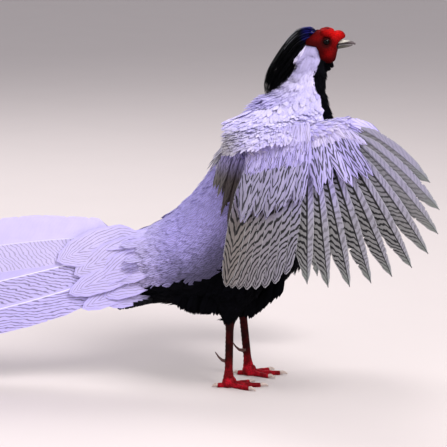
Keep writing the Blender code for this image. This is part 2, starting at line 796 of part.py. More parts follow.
def claw(name, sign, index):
    way = toe_frame(sign, index)
    length = TOE_LENGTHS[index]
    radius = TOE_RADIUS * 0.70
    centre = Vector((SHANK_FOOT_X[sign], sign * LEG_Y, 0)) + way * (length + GAP)
    scale = 0.7 if index == 3 else 1.0
    path, radii = [], []
    for i in range(4):
        t = i / 3
        path.append(
            centre + way * (CLAW_LENGTH * scale * t)
            + Vector((0, 0, radius * 0.95 + 0.0006 + 0.0012 * math.sin(math.pi * t) - 0.0017 * t * t))
        )
        radii.append(CLAW_RADIUS * (1 - 0.86 * t ** 1.3))
    rings = []
    aside = Vector((-way.y, way.x, 0))
    for point, r in zip(path, radii):
        ring = []
        for k in range(CLAW_SIDES):
            turn = 2 * math.pi * k / CLAW_SIDES
            ring.append(point + aside * (0.8 * r * math.cos(turn)) + Vector((0, 0, r * math.sin(turn))))
        rings.append(ring)
    return tube(name, rings, "claw_horn")


def joints(sign):
    """Shoulder, elbow, wrist and hand tip of one wing."""
    return [Vector((v.x, sign * v.y, v.z)) for v in (SHOULDER, *ARM[sign])]


def flight_feathers(sign):
    """(root, tip, share) for each flight feather of one wing.

    They run from the innermost secondary to the outermost primary. share runs from 0 to 1 over the
    secondaries and again over the primaries.
    """
    _, elbow, wrist, tip = joints(sign)
    feathers = []
    for i in range(SECONDARIES):
        u = (i + 0.5) / SECONDARIES
        root = elbow.lerp(wrist, u)
        angle = math.radians(lerp(ARM_ANGLES[sign][0], ARM_ANGLES[sign][1], u))
        length = SECONDARY_LENGTH * (1 - INNER_SHORTENING * (1 - u) ** 3)
        feathers.append((root, root + hanging(sign, angle, length), u))
    for i in range(PRIMARIES):
        u = i / (PRIMARIES - 1)
        root = wrist.lerp(tip, 0.06 + 0.94 * u)
        angle = math.radians(lerp(HAND_ANGLES[sign][0], HAND_ANGLES[sign][1], u))
        outer = max(0.0, (u - 0.5) / 0.5)
        length = PRIMARY_LENGTH * (1 - OUTER_SHORTENING * outer ** 2.3) * (1 - 0.07 * (1 - u) ** 5)
        feathers.append((root, root + hanging(sign, angle, length), u))
    return feathers


def hanging(sign, angle, length):
    """A feather's run in side view: angle is from straight down towards the bill, and flare turns it out."""
    return Vector((math.sin(angle), sign * FLARE, -math.cos(angle))) * length


def across_of(feathers, i):
    """The way outwards along the row of secondaries or of primaries, midway down."""
    first, last = (0, SECONDARIES - 1) if i < SECONDARIES else (SECONDARIES, len(feathers) - 1)
    a, b = feathers[max(i - 1, first)], feathers[min(i + 1, last)]
    return (b[0] + b[1] - a[0] - a[1]).normalized()


def arm(name, sign):
    """The upper arm, the forearm and the hand, each a little thinner than the last where they join."""
    shoulder, elbow, wrist, tip = joints(sign)
    r = ARM_RADII
    upper = hull(name, [(shoulder, r[0]), (elbow, r[1])], "plumage_white")
    lower = hull("forearm", [(elbow, r[1] * 0.99), (wrist, r[2])], "plumage_white")
    hand = hull("hand", [(wrist, r[2] * 0.99), (tip, r[3])], "plumage_white")
    return [upper, lower, hand]


def wing(name, sign, neighbours):
    """One open wing: arm and hand, a fan of flight feathers, and tiers of coverts over their bases."""
    feathers = flight_feathers(sign)
    outward = Vector((-0.35, sign * 0.85, 0.25))
    roll = FEATHER_ROLL[sign]
    pieces = arm(name, sign)
    for i, (root, tip, u) in enumerate(feathers):
        primary = i >= SECONDARIES
        across = across_of(feathers, i)
        bend = across * (BOWING * u * u) if primary else NO_BEND
        pieces.append(
            vane(
                f"flight_{i}",
                root,
                tip,
                across,
                outward,
                PRIMARY_WEBS if primary else SECONDARY_WEBS,
                FLIGHT_WIDTHS,
                "plumage_white",
                roll=roll,
                bend=bend,
                reach=PRIMARY_LENGTH,
            )
        )
    # for each tier: its roots along the row of flight feathers, its share of their length, and its lift
    for tier, places, share, lift, webs in COVERT_TIERS:
        for place in places:
            i = int(place)
            f = place - i
            root, tip = (feathers[i][k].lerp(feathers[i + 1][k], f) for k in (0, 1))
            pieces.append(
                vane(
                    f"{tier}_{place}",
                    root,
                    root.lerp(tip, share),
                    across_of(feathers, i),
                    outward,
                    webs,
                    COVERT_WIDTHS,
                    "plumage_white",
                    roll=roll,
                    lift=lift,
                    reach=PRIMARY_LENGTH,
                    shaft=False,
                )
            )
    shoulder, elbow = joints(sign)[:2]
    for i, angle in enumerate(TERTIAL_ANGLES):
        root = elbow.lerp(shoulder, 0.10 + 0.20 * i)
        turn = math.radians(angle)
        length = TERTIAL_LENGTH * (1 - 0.10 * i)
        run = Vector((math.sin(turn), sign * 0.02, -math.cos(turn))) * length
        pieces.append(
            vane(
                f"tertial_{i}",
                root,
                root + run,
                Vector((0.95, sign * 0.2, 0.25)),
                outward,
                SECONDARY_WEBS,
                FLIGHT_WIDTHS,
                "plumage_white",
                roll=TERTIAL_ROLL,
                reach=PRIMARY_LENGTH,
            )
        )
    return cut(fuse(pieces, name), [swollen(n) for n in neighbours])


def tail():
    """Flight feathers of the tail, held as a steep roof with the long middle pair on top and outermost."""
    pieces = [tube("tail", section_rings(TAIL_CORE, 6, 14), "plumage_white")]
    for sign in (-1, 1):
        for k in range(RECTRICES):
            u = k / (RECTRICES - 1)
            pitch = math.radians(lerp(TAIL_RISE, TAIL_FALL, u))
            root_y = sign * (0.0130 - 0.0006 * k)
            root = Vector((TAIL_ROOT[0], root_y, TAIL_ROOT[1] - TAIL_ROOT_DROP * k))
            run = Vector((-math.cos(pitch), sign * 0.012, math.sin(pitch)))
            bend = TAIL_SAG * TAIL_LENGTHS[k] ** 2
            tip = root + run * TAIL_LENGTHS[k] - Vector((0, 0, bend))
            width = TAIL_WIDTH * (1 - 0.26 * u)
            pieces.append(
                vane(
                    f"rectrix_{sign}_{k}",
                    root,
                    tip,
                    Vector((0, sign * 0.36, -1)),
                    Vector((0, sign, 0.3)),
                    (width * 0.45, width * 0.55),
                    TAIL_WIDTHS,
                    "plumage_white",
                    bend=Vector((0, 0, bend / 4)),
                    curl=0.0,
                )
            )
    return fuse(pieces, "tail")


def centre_under(objects):
    """Moves everything so that the origin is under the middle of the whole bird."""
    corners = [v.co for o in objects for v in o.data.vertices]
    x = (min(c.x for c in corners) + max(c.x for c in corners)) / 2
    y = (min(c.y for c in corners) + max(c.y for c in corners)) / 2
    z = min(c.z for c in corners)
    for obj in objects:
        obj.data.transform(Matrix.Translation((-x, -y, -z)))


def shade(obj):
    obj.data.shade_smooth()
    obj.data.set_sharp_from_angle(angle=math.radians(40))


def main():
    clear_scene()
    body = torso()
    throat = neck()
    eye_pair = eyes()
    skull = head(eye_pair)
    cut(throat, [swollen(skull)])
    upper, lower = bill(skull)
    made = [body, throat, skull, upper, lower, *eye_pair]
    made.append(crest([skull, throat, body]))
    for side, sign in (("right", -1), ("left", 1)):
        made.append(thigh(f"thigh_{side}", sign, [body]))
        leg = shank(f"shank_{side}", sign)
        made += [leg, spur(f"spur_{side}", sign, leg), foot(f"foot_{side}", sign)]
        for index, toe in enumerate(("inner", "middle", "outer", "hind")):
            made.append(claw(f"claw_{side}_{toe}", sign, index))
        made.append(wing(f"wing_{side}", sign, [body]))
    made.append(tail())
    centre_under(made)
    for obj in made:
        shade(obj)


main()
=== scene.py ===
"""Looks of the silver pheasant: skin, feathers, bare face, bill, legs, floor, light and camera.

Places are written in metres in the bird's own frame, with x = 0 between the feet and y = 0 in the
middle of the body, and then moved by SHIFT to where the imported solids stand.
"""

import math

import bmesh
import bpy
import numpy as np
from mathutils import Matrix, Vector
from mathutils.kdtree import KDTree


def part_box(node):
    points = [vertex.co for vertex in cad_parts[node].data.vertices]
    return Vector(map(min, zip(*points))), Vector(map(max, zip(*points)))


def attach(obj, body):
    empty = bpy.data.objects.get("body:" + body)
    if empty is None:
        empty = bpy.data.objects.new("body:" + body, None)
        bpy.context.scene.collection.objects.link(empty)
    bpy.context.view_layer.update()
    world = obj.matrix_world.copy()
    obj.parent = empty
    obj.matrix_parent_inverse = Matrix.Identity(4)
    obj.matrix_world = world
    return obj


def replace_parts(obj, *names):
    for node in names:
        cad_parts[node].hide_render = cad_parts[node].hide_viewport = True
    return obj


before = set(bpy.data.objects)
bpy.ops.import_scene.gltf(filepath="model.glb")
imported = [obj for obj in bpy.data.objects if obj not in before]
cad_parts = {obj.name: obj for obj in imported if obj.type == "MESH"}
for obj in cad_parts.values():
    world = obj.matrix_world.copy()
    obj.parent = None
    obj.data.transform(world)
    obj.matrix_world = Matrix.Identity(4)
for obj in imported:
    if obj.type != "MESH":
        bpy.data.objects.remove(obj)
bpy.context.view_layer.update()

# Where the bird's own frame lies, from the middle of its right eye
EYE = np.array((0.1262, 0.0128, 0.518))
EYE_RADIUS = 0.006
SHIFT = np.mean(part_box("eye_right"), axis=0) - EYE * (1, -1, 1)

# Camera: the photograph looks square at the bird's right side and a little down
CAMERA_TARGET = np.array((-0.02475, 0.0, 0.2437))
CAMERA_ELEVATION = math.radians(11.0)
CAMERA_DISTANCE = 3.2
PIXEL_SIZE = 0.0015
FRAME_PIXELS = 447
SENSOR = 36.0

# Middle line of neck and body in side view, from the bill to under the tail
SPINE = np.array((
    (0.15, 0.512), (0.122, 0.508), (0.108, 0.478), (0.095, 0.43), (0.076, 0.37), (0.046, 0.3), (0.0, 0.236),
    (-0.06, 0.2), (-0.15, 0.188), (-0.26, 0.18)
))

# Edge of the black underparts in side view, from the chin to under the tail
BLACK_EDGE = np.array((
    (0.11, 0.5), (0.1085, 0.485), (0.11, 0.47), (0.113, 0.447), (0.116, 0.425), (0.1165, 0.405),
    (0.108, 0.37), (0.086, 0.32), (0.048, 0.26), (0.008, 0.208), (-0.04, 0.178), (-0.082, 0.161),
    (-0.13, 0.147), (-0.22, 0.125)
))

# Edge of the black crown in side view, from the bill back and down
CROWN_EDGE = np.array((
    (0.15, 0.541), (0.125, 0.5395), (0.111, 0.531), (0.099, 0.5205), (0.086, 0.503), (0.06, 0.47)
))
# Bare red skin, the white cheek and the mantle, each as a closed outline in side view
BARE_OUTLINE = np.array((
    (0.0965, 0.5195), (0.108, 0.53), (0.122, 0.54), (0.14, 0.542), (0.164, 0.533), (0.164, 0.505),
    (0.144, 0.49), (0.1285, 0.487), (0.1181, 0.4936), (0.1156, 0.504), (0.1116, 0.512), (0.0965, 0.514)
))
CHEEK_OUTLINE = np.array((
    (0.08, 0.5), (0.092, 0.509), (0.1, 0.515), (0.113, 0.513), (0.1195, 0.4985), (0.1155, 0.4862),
    (0.1098, 0.4772), (0.08, 0.47)
))
MANTLE_OUTLINE = np.array((
    (0.09, 0.445), (0.035, 0.455), (-0.005, 0.415), (-0.028, 0.383), (-0.015, 0.366), (0.02, 0.364),
    (0.07, 0.38), (0.1, 0.415)
))
MANTLE_SPACING = 0.0056
# Shawl in front view: places outwards from the middle, and heights over the arm's upper edge
SHAWL_ARC = np.array((
    (0.03, 0.022), (0.052, 0.017), (0.074, 0.011), (0.096, 0.0055), (0.113, 0.0015), (0.127, -0.01),
    (0.134, -0.027)
))
# Colours, linear
LAVENDER = (0.5, 0.43, 0.93)
WHITE = (0.8, 0.72, 0.98)
SNOW = (0.96, 0.94, 0.99)
TAIL_WHITE = (0.68, 0.6, 0.92)
# Dark flank near the black underparts, also used as painted shadow of the wing
FLANK_AND_WING_SHADOW = (0.085, 0.078, 0.135)
BLACK = (0.001, 0.001, 0.0016)
CHEEK_GREY = (0.4, 0.35, 0.62)
# Painted shade: olive grey where the back meets the wing's base
OLIVE_SHADE = (0.225, 0.205, 0.2)
# Painted shade: dark brown in the gap between back and wing
BROWN_GAP_SHADE = (0.05, 0.032, 0.03)
GREY_TAN = (0.205, 0.175, 0.165)
GREY_LILAC = (0.27, 0.248, 0.315)
PALE_GREY = (0.36, 0.35, 0.37)
RED_BRIGHT = (0.6, 0.005, 0.005)
RED_DARK = (0.03, 0.0003, 0.0004)
FLOOR_COLOUR = (0.62, 0.55, 0.54)
ROOM_COLOUR = (0.94, 0.94, 1.0)

# Light: the lamps' places, sizes in metres and power in watts
FLOOR_HALF = 30.0
ROOM_LIGHT = 0.56
LAMP_TARGET = (0.05, 0.0, 0.3)
LAMPS = (
    ("key", (1.7, -1.5, 2.5), 1.3, 108.0), ("fill", (-1.4, -2.4, 1.6), 2.0, 24.0),
    ("rim", (-0.7, 1.9, 2.3), 1.3, 42.0)
)

# Skin and coat: voxel size, feathers in one piece, and depth, length and half width along the spine
SKIN_VOXEL = 0.0024
HACKLE_LIFT = math.radians(23)
COAT_PIECE = 6500
COAT_DEPTHS = ((0, 0.0012), (0.12, 0.0014), (0.24, 0.0026), (0.4, 0.004), (0.6, 0.0052), (1, 0.0052))
COAT_LENGTHS = (
    (0, 0.005), (0.1, 0.006), (0.22, 0.013), (0.34, 0.02), (0.46, 0.027), (0.7, 0.034), (1, 0.034)
)
COAT_HALVES = (
    (0, 0.0011), (0.1, 0.0013), (0.22, 0.0018), (0.34, 0.0028), (0.46, 0.005), (0.7, 0.007), (1, 0.007)
)

# Face: centres, sizes and strengths of its brighter parts, and the line between the mandibles
FACE_GLOW = (
    ((0.14, 0.531), (0.012, 0.007), 1.0), ((0.149, 0.523), (0.008, 0.006), 0.28),
    ((0.138, 0.514), (0.007, 0.008), 0.3), ((0.126, 0.535), (0.01, 0.006), 0.5),
    ((0.129, 0.501), (0.007, 0.007), 0.3), ((0.113, 0.524), (0.009, 0.005), 0.16)
)
GAPE, GAPE_SLOPE = (0.1425, 0.5127), 0.2
FACE_SMOOTHING, FACE_TOP = 90, 0.5345
FACE_FRONT = (
    (0.48, 0.129), (0.4883, 0.131), (0.4937, 0.1395), (0.5066, 0.143), (0.5151, 0.14), (0.5216, 0.145),
    (0.527, 0.156), (0.54, 0.156)
)

# Legs: thigh axes and bare shanks, right (-1) and left (1)
LEG_Y = 0.035
HIP, HOCK = (0.01, 0.036, 0.19), (-0.015, 0.0355, 0.103)
SHANK_TOP_X = {-1: -0.015, 1: 0.004}
SHANK_FOOT_X = {-1: -0.017, 1: 0.014}
HOCK_HEIGHT, FOOT_HEIGHT = 0.1027, 0.015
SCUTES = 15

# Wings: shoulder, then elbow, wrist and hand tip, on the +Y side
SHOULDER = (0.07, 0.05, 0.345)
ARM = {
    -1: ((0.016, 0.096, 0.378), (0.092, 0.118, 0.4), (0.148, 0.134, 0.416)),
    1: ((0.016, 0.092, 0.342), (0.084, 0.112, 0.355), (0.132, 0.126, 0.363))
}
HAND_ANGLES = {-1: (0.0, 56.0), 1: (-8.5, 20.0)}
ARM_ANGLES = {-1: (-11.0, -5.5), 1: (-19.0, -13.5)}
PRIMARIES, SECONDARIES = 10, 8
PRIMARY_LENGTH, SECONDARY_LENGTH = 0.232, 0.218
INNER_SHORTENING, OUTER_SHORTENING = 0.06, 0.37
FLARE = 0.17
BOWING = 0.013
FEATHER_ROLL = {-1: math.radians(8.5), 1: math.radians(10.5)}
PRIMARY_WEBS, SECONDARY_WEBS = (0.02, 0.0105), (0.0205, 0.015)
CROWDING = 1.25
LAST_SECONDARY_SHORTENING = 0.13
CURL = 0.9
ARM_RADII = (0.02, 0.0165, 0.0125, 0.0085)
ARM_FEATHERS = 3000
SHAWL_FEATHERS = 1300
SCAPULARS = 22
SCAPULAR_START, SCAPULAR_END = (-0.024, 0.05, 0.362), (0.02, 0.082, 0.372)
# Places across a blade, from -1 to 1, for small, middling and large feathers
SOFT_ACROSS = (-1, -0.5, 0, 0.5, 1)
COVERT_ACROSS = (-1, -0.6, -0.25, 0, 0.25, 0.6, 1)
FINE_ACROSS = (-1, -0.72, -0.45, -0.2, -0.05, 0, 0.05, 0.2, 0.45, 0.72, 1)
SIDES = ((-1, "right"), (1, "left"))

# Tiers of coverts: first and last place along the flight feathers, count, length, half width, start
# behind the arm, lift, paleness, strength of the lines, and their steepness, spacing and share
COVERT_TIERS = (
    ("greater", 0.3, 7.5, 20, 0.112, 0.0112, 0.0, 0.002, 0.0, 0.95, (4.0, 0.023, 0.34)),
    ("primary", 7.9, 14.2, 10, 0.088, 0.008, 0.0, 0.003, 0.05, 0.9, (6.0, 0.026, 0.4)),
    ("median", 0.4, 7.7, 26, 0.088, 0.0072, 0.003, 0.004, 0.0, 0.85, (5.5, 0.028, 0.32)),
    ("alula", 8.2, 11.5, 7, 0.062, 0.0062, 0.002, 0.0078, 0.25, 0.8, (6.0, 0.026, 0.38)),
    ("lesser_a", 0.3, 8.0, 32, 0.07, 0.0056, 0.006, 0.0096, 0.1, 0.75, (7.0, 0.03, 0.28)),
    ("hand_a", 8.0, 16.0, 20, 0.05, 0.0052, 0.003, 0.0068, 0.35, 0.55, (7.0, 0.028, 0.3)),
    ("lesser_b", 0.2, 8.2, 34, 0.054, 0.005, 0.009, 0.0118, 0.1, 0.7, (7.0, 0.028, 0.28)),
    ("hand_b", 8.2, 15.8, 22, 0.034, 0.0045, 0.005, 0.0086, 0.55, 0.4, (7.0, 0.028, 0.26)),
    ("lesser_c", 0.0, 8.4, 38, 0.042, 0.0046, 0.012, 0.0134, 0.2, 0.6, (7.0, 0.026, 0.26)),
    ("lesser_d", 0.0, 8.4, 42, 0.032, 0.0042, 0.014, 0.015, 0.35, 0.4, (7.0, 0.024, 0.24))
)
# Smooth pale feathers along the hand's front edge: count, length, half width and turn from the last
# flight feather
LEADING, LEADING_LENGTH, LEADING_HALF, LEADING_TURN = 9, 0.056, 0.008, 9.0
# Tail feathers of one side from the top down: length, heights of the shaft at its root, a hand's
# breadth behind and at its tip, half widths of its inner and outer webs, and its lines
TAIL_SHAFTS = (
    (0.63, 0.226, 0.212, 0.089, 0.0405, 0.041, 0.42, 0.8, 0.0066),
    (0.57, 0.205, 0.159, 0.078, 0.024, 0.037, 0.75, 2.2, 0.0115),
    (0.49, 0.175, 0.118, 0.075, 0.022, 0.037, 0.75, 4.6, 0.021),
    (0.41, 0.168, 0.114, 0.073, 0.02, 0.03, 0.75, 5.0, 0.023),
    (0.34, 0.162, 0.11, 0.071, 0.018, 0.025, 0.75, 5.0, 0.023),
    (0.27, 0.155, 0.105, 0.069, 0.016, 0.02, 0.75, 5.0, 0.023)
)
TAIL_ROOT_X, TAIL_ROOT_Y, TAIL_STEP_Y = -0.176, 0.0088, 0.0012
TAIL_MIDDLE = 0.184
TAIL_SLOPE = 0.2
# Tail coverts of one side: root and tip in side view, half width, whiteness and strength of the lines
TAIL_COVERTS = (
    ((-0.15, 0.232), (-0.274, 0.19), 0.025, 0.8, 0.6), ((-0.14, 0.184), (-0.256, 0.142), 0.019, 0.6, 0.6),
    ((-0.136, 0.16), (-0.236, 0.12), 0.0165, 0.5, 0.6), ((-0.142, 0.22), (-0.248, 0.17), 0.0215, 0.75, 0.6),
    ((-0.136, 0.206), (-0.228, 0.154), 0.02, 0.6, 0.6),
    ((-0.124, 0.227), (-0.214, 0.212), 0.015, 0.75, 0.2),
    ((-0.118, 0.218), (-0.212, 0.186), 0.018, 0.65, 0.45),
    ((-0.118, 0.19), (-0.206, 0.16), 0.018, 0.5, 0.55),
    ((-0.118, 0.168), (-0.204, 0.138), 0.017, 0.45, 0.55),
    ((-0.12, 0.144), (-0.196, 0.123), 0.013, 0.4, 0.55),
    ((-0.112, 0.229), (-0.186, 0.218), 0.013, 0.65, 0.15),
    ((-0.106, 0.212), (-0.186, 0.194), 0.016, 0.5, 0.3),
    ((-0.104, 0.186), (-0.182, 0.168), 0.016, 0.4, 0.4),
    ((-0.104, 0.16), (-0.178, 0.144), 0.015, 0.35, 0.45)
)
VENT_FEATHERS, BEARD_FEATHERS = 260, 220
VENT_TIP = (-0.184, 0.1225)
FLUFF_FEATHERS = 760
# Lower edge of the loose black feathers, in side view
FLUFF_BOTTOM = (
    (-0.092, 0.1215), (-0.087, 0.113), (-0.075, 0.108), (-0.066, 0.1046), (-0.025, 0.1024), (0.006, 0.0985),
    (0.024, 0.099), (0.033, 0.107), (0.048, 0.1196), (0.062, 0.1335)
)
# Crest: the path of its top plumes and of its lowest ones, in side view
CREST_TOP = (
    (0.118, 0.528), (0.104, 0.54), (0.082, 0.534), (0.06, 0.509), (0.042, 0.479), (0.036, 0.456),
    (0.0385, 0.431)
)
CREST_LOW = (
    (0.098, 0.518), (0.088, 0.503), (0.078, 0.486), (0.068, 0.4705), (0.058, 0.458), (0.0495, 0.445),
    (0.0425, 0.433)
)
CREST_SPREAD = 0.0145
CREST_PLUMES = 420
CREST_HAIRS = 26

# Share of a feather's full half width at each share of its length
FLIGHT_OUTLINE = (
    (0, 0.07), (0.12, 0.12), (0.36, 0.9), (0.62, 1.0), (0.82, 0.9), (0.92, 0.68), (0.97, 0.42), (1, 0.08)
)
PRIMARY_OUTLINE = ((0, 0.07), (0.12, 0.12), (0.36, 0.9), (0.62, 1.0), (0.8, 0.82), (0.93, 0.42), (1, 0.03))
COVERT_OUTLINE = ((0, 0.2), (0.3, 0.8), (0.62, 1.0), (0.86, 0.7), (1, 0.05))
TAIL_OUTLINE = (
    (0, 0.2), (0.03, 0.42), (0.06, 0.72), (0.12, 0.82), (0.2, 0.97), (0.3, 1.0), (0.5, 0.96), (0.72, 0.74),
    (0.9, 0.4), (1, 0.03)
)
BROAD_OUTLINE = ((0, 0.2), (0.22, 0.85), (0.5, 1.0), (0.78, 0.84), (0.93, 0.46), (1, 0.05))
BODY_OUTLINE = ((0, 0.3), (0.4, 0.95), (0.72, 1.0), (1, 0.1))
PLUME_OUTLINE = ((0, 0.3), (0.25, 0.9), (0.6, 1.0), (0.88, 0.8), (1, 0.04))

# How many of a vane's barb groups stand apart, and how far its shaft's ridge spreads
SPLIT_SHARE = 0.1
SHAFT_SPREAD = 0.0009

RNG = np.random.default_rng(7)


def unit(v):
    return v / np.maximum(np.linalg.norm(v, axis=-1, keepdims=True), 1e-12)


def norm(v):
    return np.linalg.norm(v, axis=-1)


def stack(*parts):
    """The parts side by side along a new last axis."""
    return np.stack(np.broadcast_arrays(*parts), -1)


def lerp(a, b, t):
    a, b = np.asarray(a), np.asarray(b)
    return a + (b - a) * t


def ease(t):
    t = np.clip(t, 0.0, 1.0)
    return t * t * (3 - 2 * t)


def eased(s, keys):
    """The value at s of a curve that eases from each key to the next."""
    places, values = np.array(keys, float).T
    i = np.clip(np.searchsorted(places, s, side="right") - 1, 0, len(places) - 2)
    t = (s - places[i]) / (places[i + 1] - places[i])
    return lerp(values[i], values[i + 1], lerp(t, ease(t), 0.6))


def spline(points, t):
    """Catmull-Rom through the points, for an array of t from 0 to 1."""
    points = np.asarray(points, float)
    whole = np.vstack((2 * points[0] - points[1], points, 2 * points[-1] - points[-2]))
    at = np.clip(np.asarray(t, float), 0, 1) * (len(points) - 1)
    i = np.minimum(at.astype(int), len(points) - 2)
    f = (at - i)[..., None]
    p0, p1, p2, p3 = (whole[i + k] for k in range(4))
    return 0.5 * (
        2 * p1
        + (p2 - p0) * f
        + (2 * p0 - 5 * p1 + 4 * p2 - p3) * f**2
        + (3 * p1 - p0 - 3 * p2 + p3) * f**3
    )


def side_view(points):
    return np.asarray(points)[..., (0, 2)]


def along_line(points, line):
    """For each point in side view: its distance to the line, with a sign, and its place along it.

    The distance is positive on the right-hand side of the line's way, which is the front or below.
    """
    a, b = line[:-1], line[1:]
    way = b - a
    from_a = points[:, None, :] - a
    t = np.clip((from_a * way).sum(-1) / (way * way).sum(-1), 0, 1)
    apart = from_a - way * t[..., None]
    near = (apart**2).sum(-1).argmin(1)
    pick = np.arange(len(points))
    gap = apart[pick, near]
    turn = way[near, 0] * gap[:, 1] - way[near, 1] * gap[:, 0]
    return np.copysign(norm(gap), turn), (near + t[pick, near]) / len(a), unit(way[near])


def placed(name, data):
    """A new object in the scene."""
    obj = bpy.data.objects.new(name, data)
    bpy.context.scene.collection.objects.link(obj)
    return obj


def read(items, key, width, kind=np.float32):
    """One attribute of all the items, as rows of the given width."""
    values = np.empty(len(items) * width, kind)
    items.foreach_get(key, values)
    return values.reshape(-1, width)


def mesh_piece(name, points, faces, material, slot, sharp=50.0):
    """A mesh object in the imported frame, from points in the bird's frame and lists of corners."""
    mesh = bpy.data.meshes.new(name)
    points = np.asarray(points, np.float32) + SHIFT.astype(np.float32)
    counts = np.concatenate([np.full(len(f), f.shape[1]) for f in faces])
    corners = np.concatenate([f.reshape(-1) for f in faces])
    mesh.vertices.add(len(points))
    mesh.vertices.foreach_set("co", points.reshape(-1))
    mesh.loops.add(len(corners))
    mesh.loops.foreach_set("vertex_index", corners.astype(np.int32))
    mesh.polygons.add(len(counts))
    starts = np.concatenate(([0], np.cumsum(counts)[:-1])).astype(np.int32)
    mesh.polygons.foreach_set("loop_start", starts)
    mesh.update(calc_edges=True)
    mesh.validate()
    mesh.shade_smooth()
    mesh.set_sharp_from_angle(angle=math.radians(sharp))
    mesh.materials.append(material)
    obj = placed(name, mesh)
    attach(obj, "root")
    return obj


def put_vectors(mesh, name, values):
    mesh.attributes.new(name, "FLOAT_VECTOR", "POINT")
    mesh.attributes[name].data.foreach_set("vector", np.asarray(values, np.float32).reshape(-1))


def put_uv(mesh, name, uv):
    """A UV map with the same place for every corner of a vertex."""
    corners = read(mesh.loops, "vertex_index", 1, np.int32)[:, 0]
    layer = mesh.uv_layers.new(name=name)
    layer.data.foreach_set("uv", np.asarray(uv, np.float32)[corners].reshape(-1))


def spread(value, n):
    """One value for all blades, or one for each, as an array of n by 1 by 1."""
    return np.broadcast_to(np.asarray(value, float), (n,))[:, None, None]


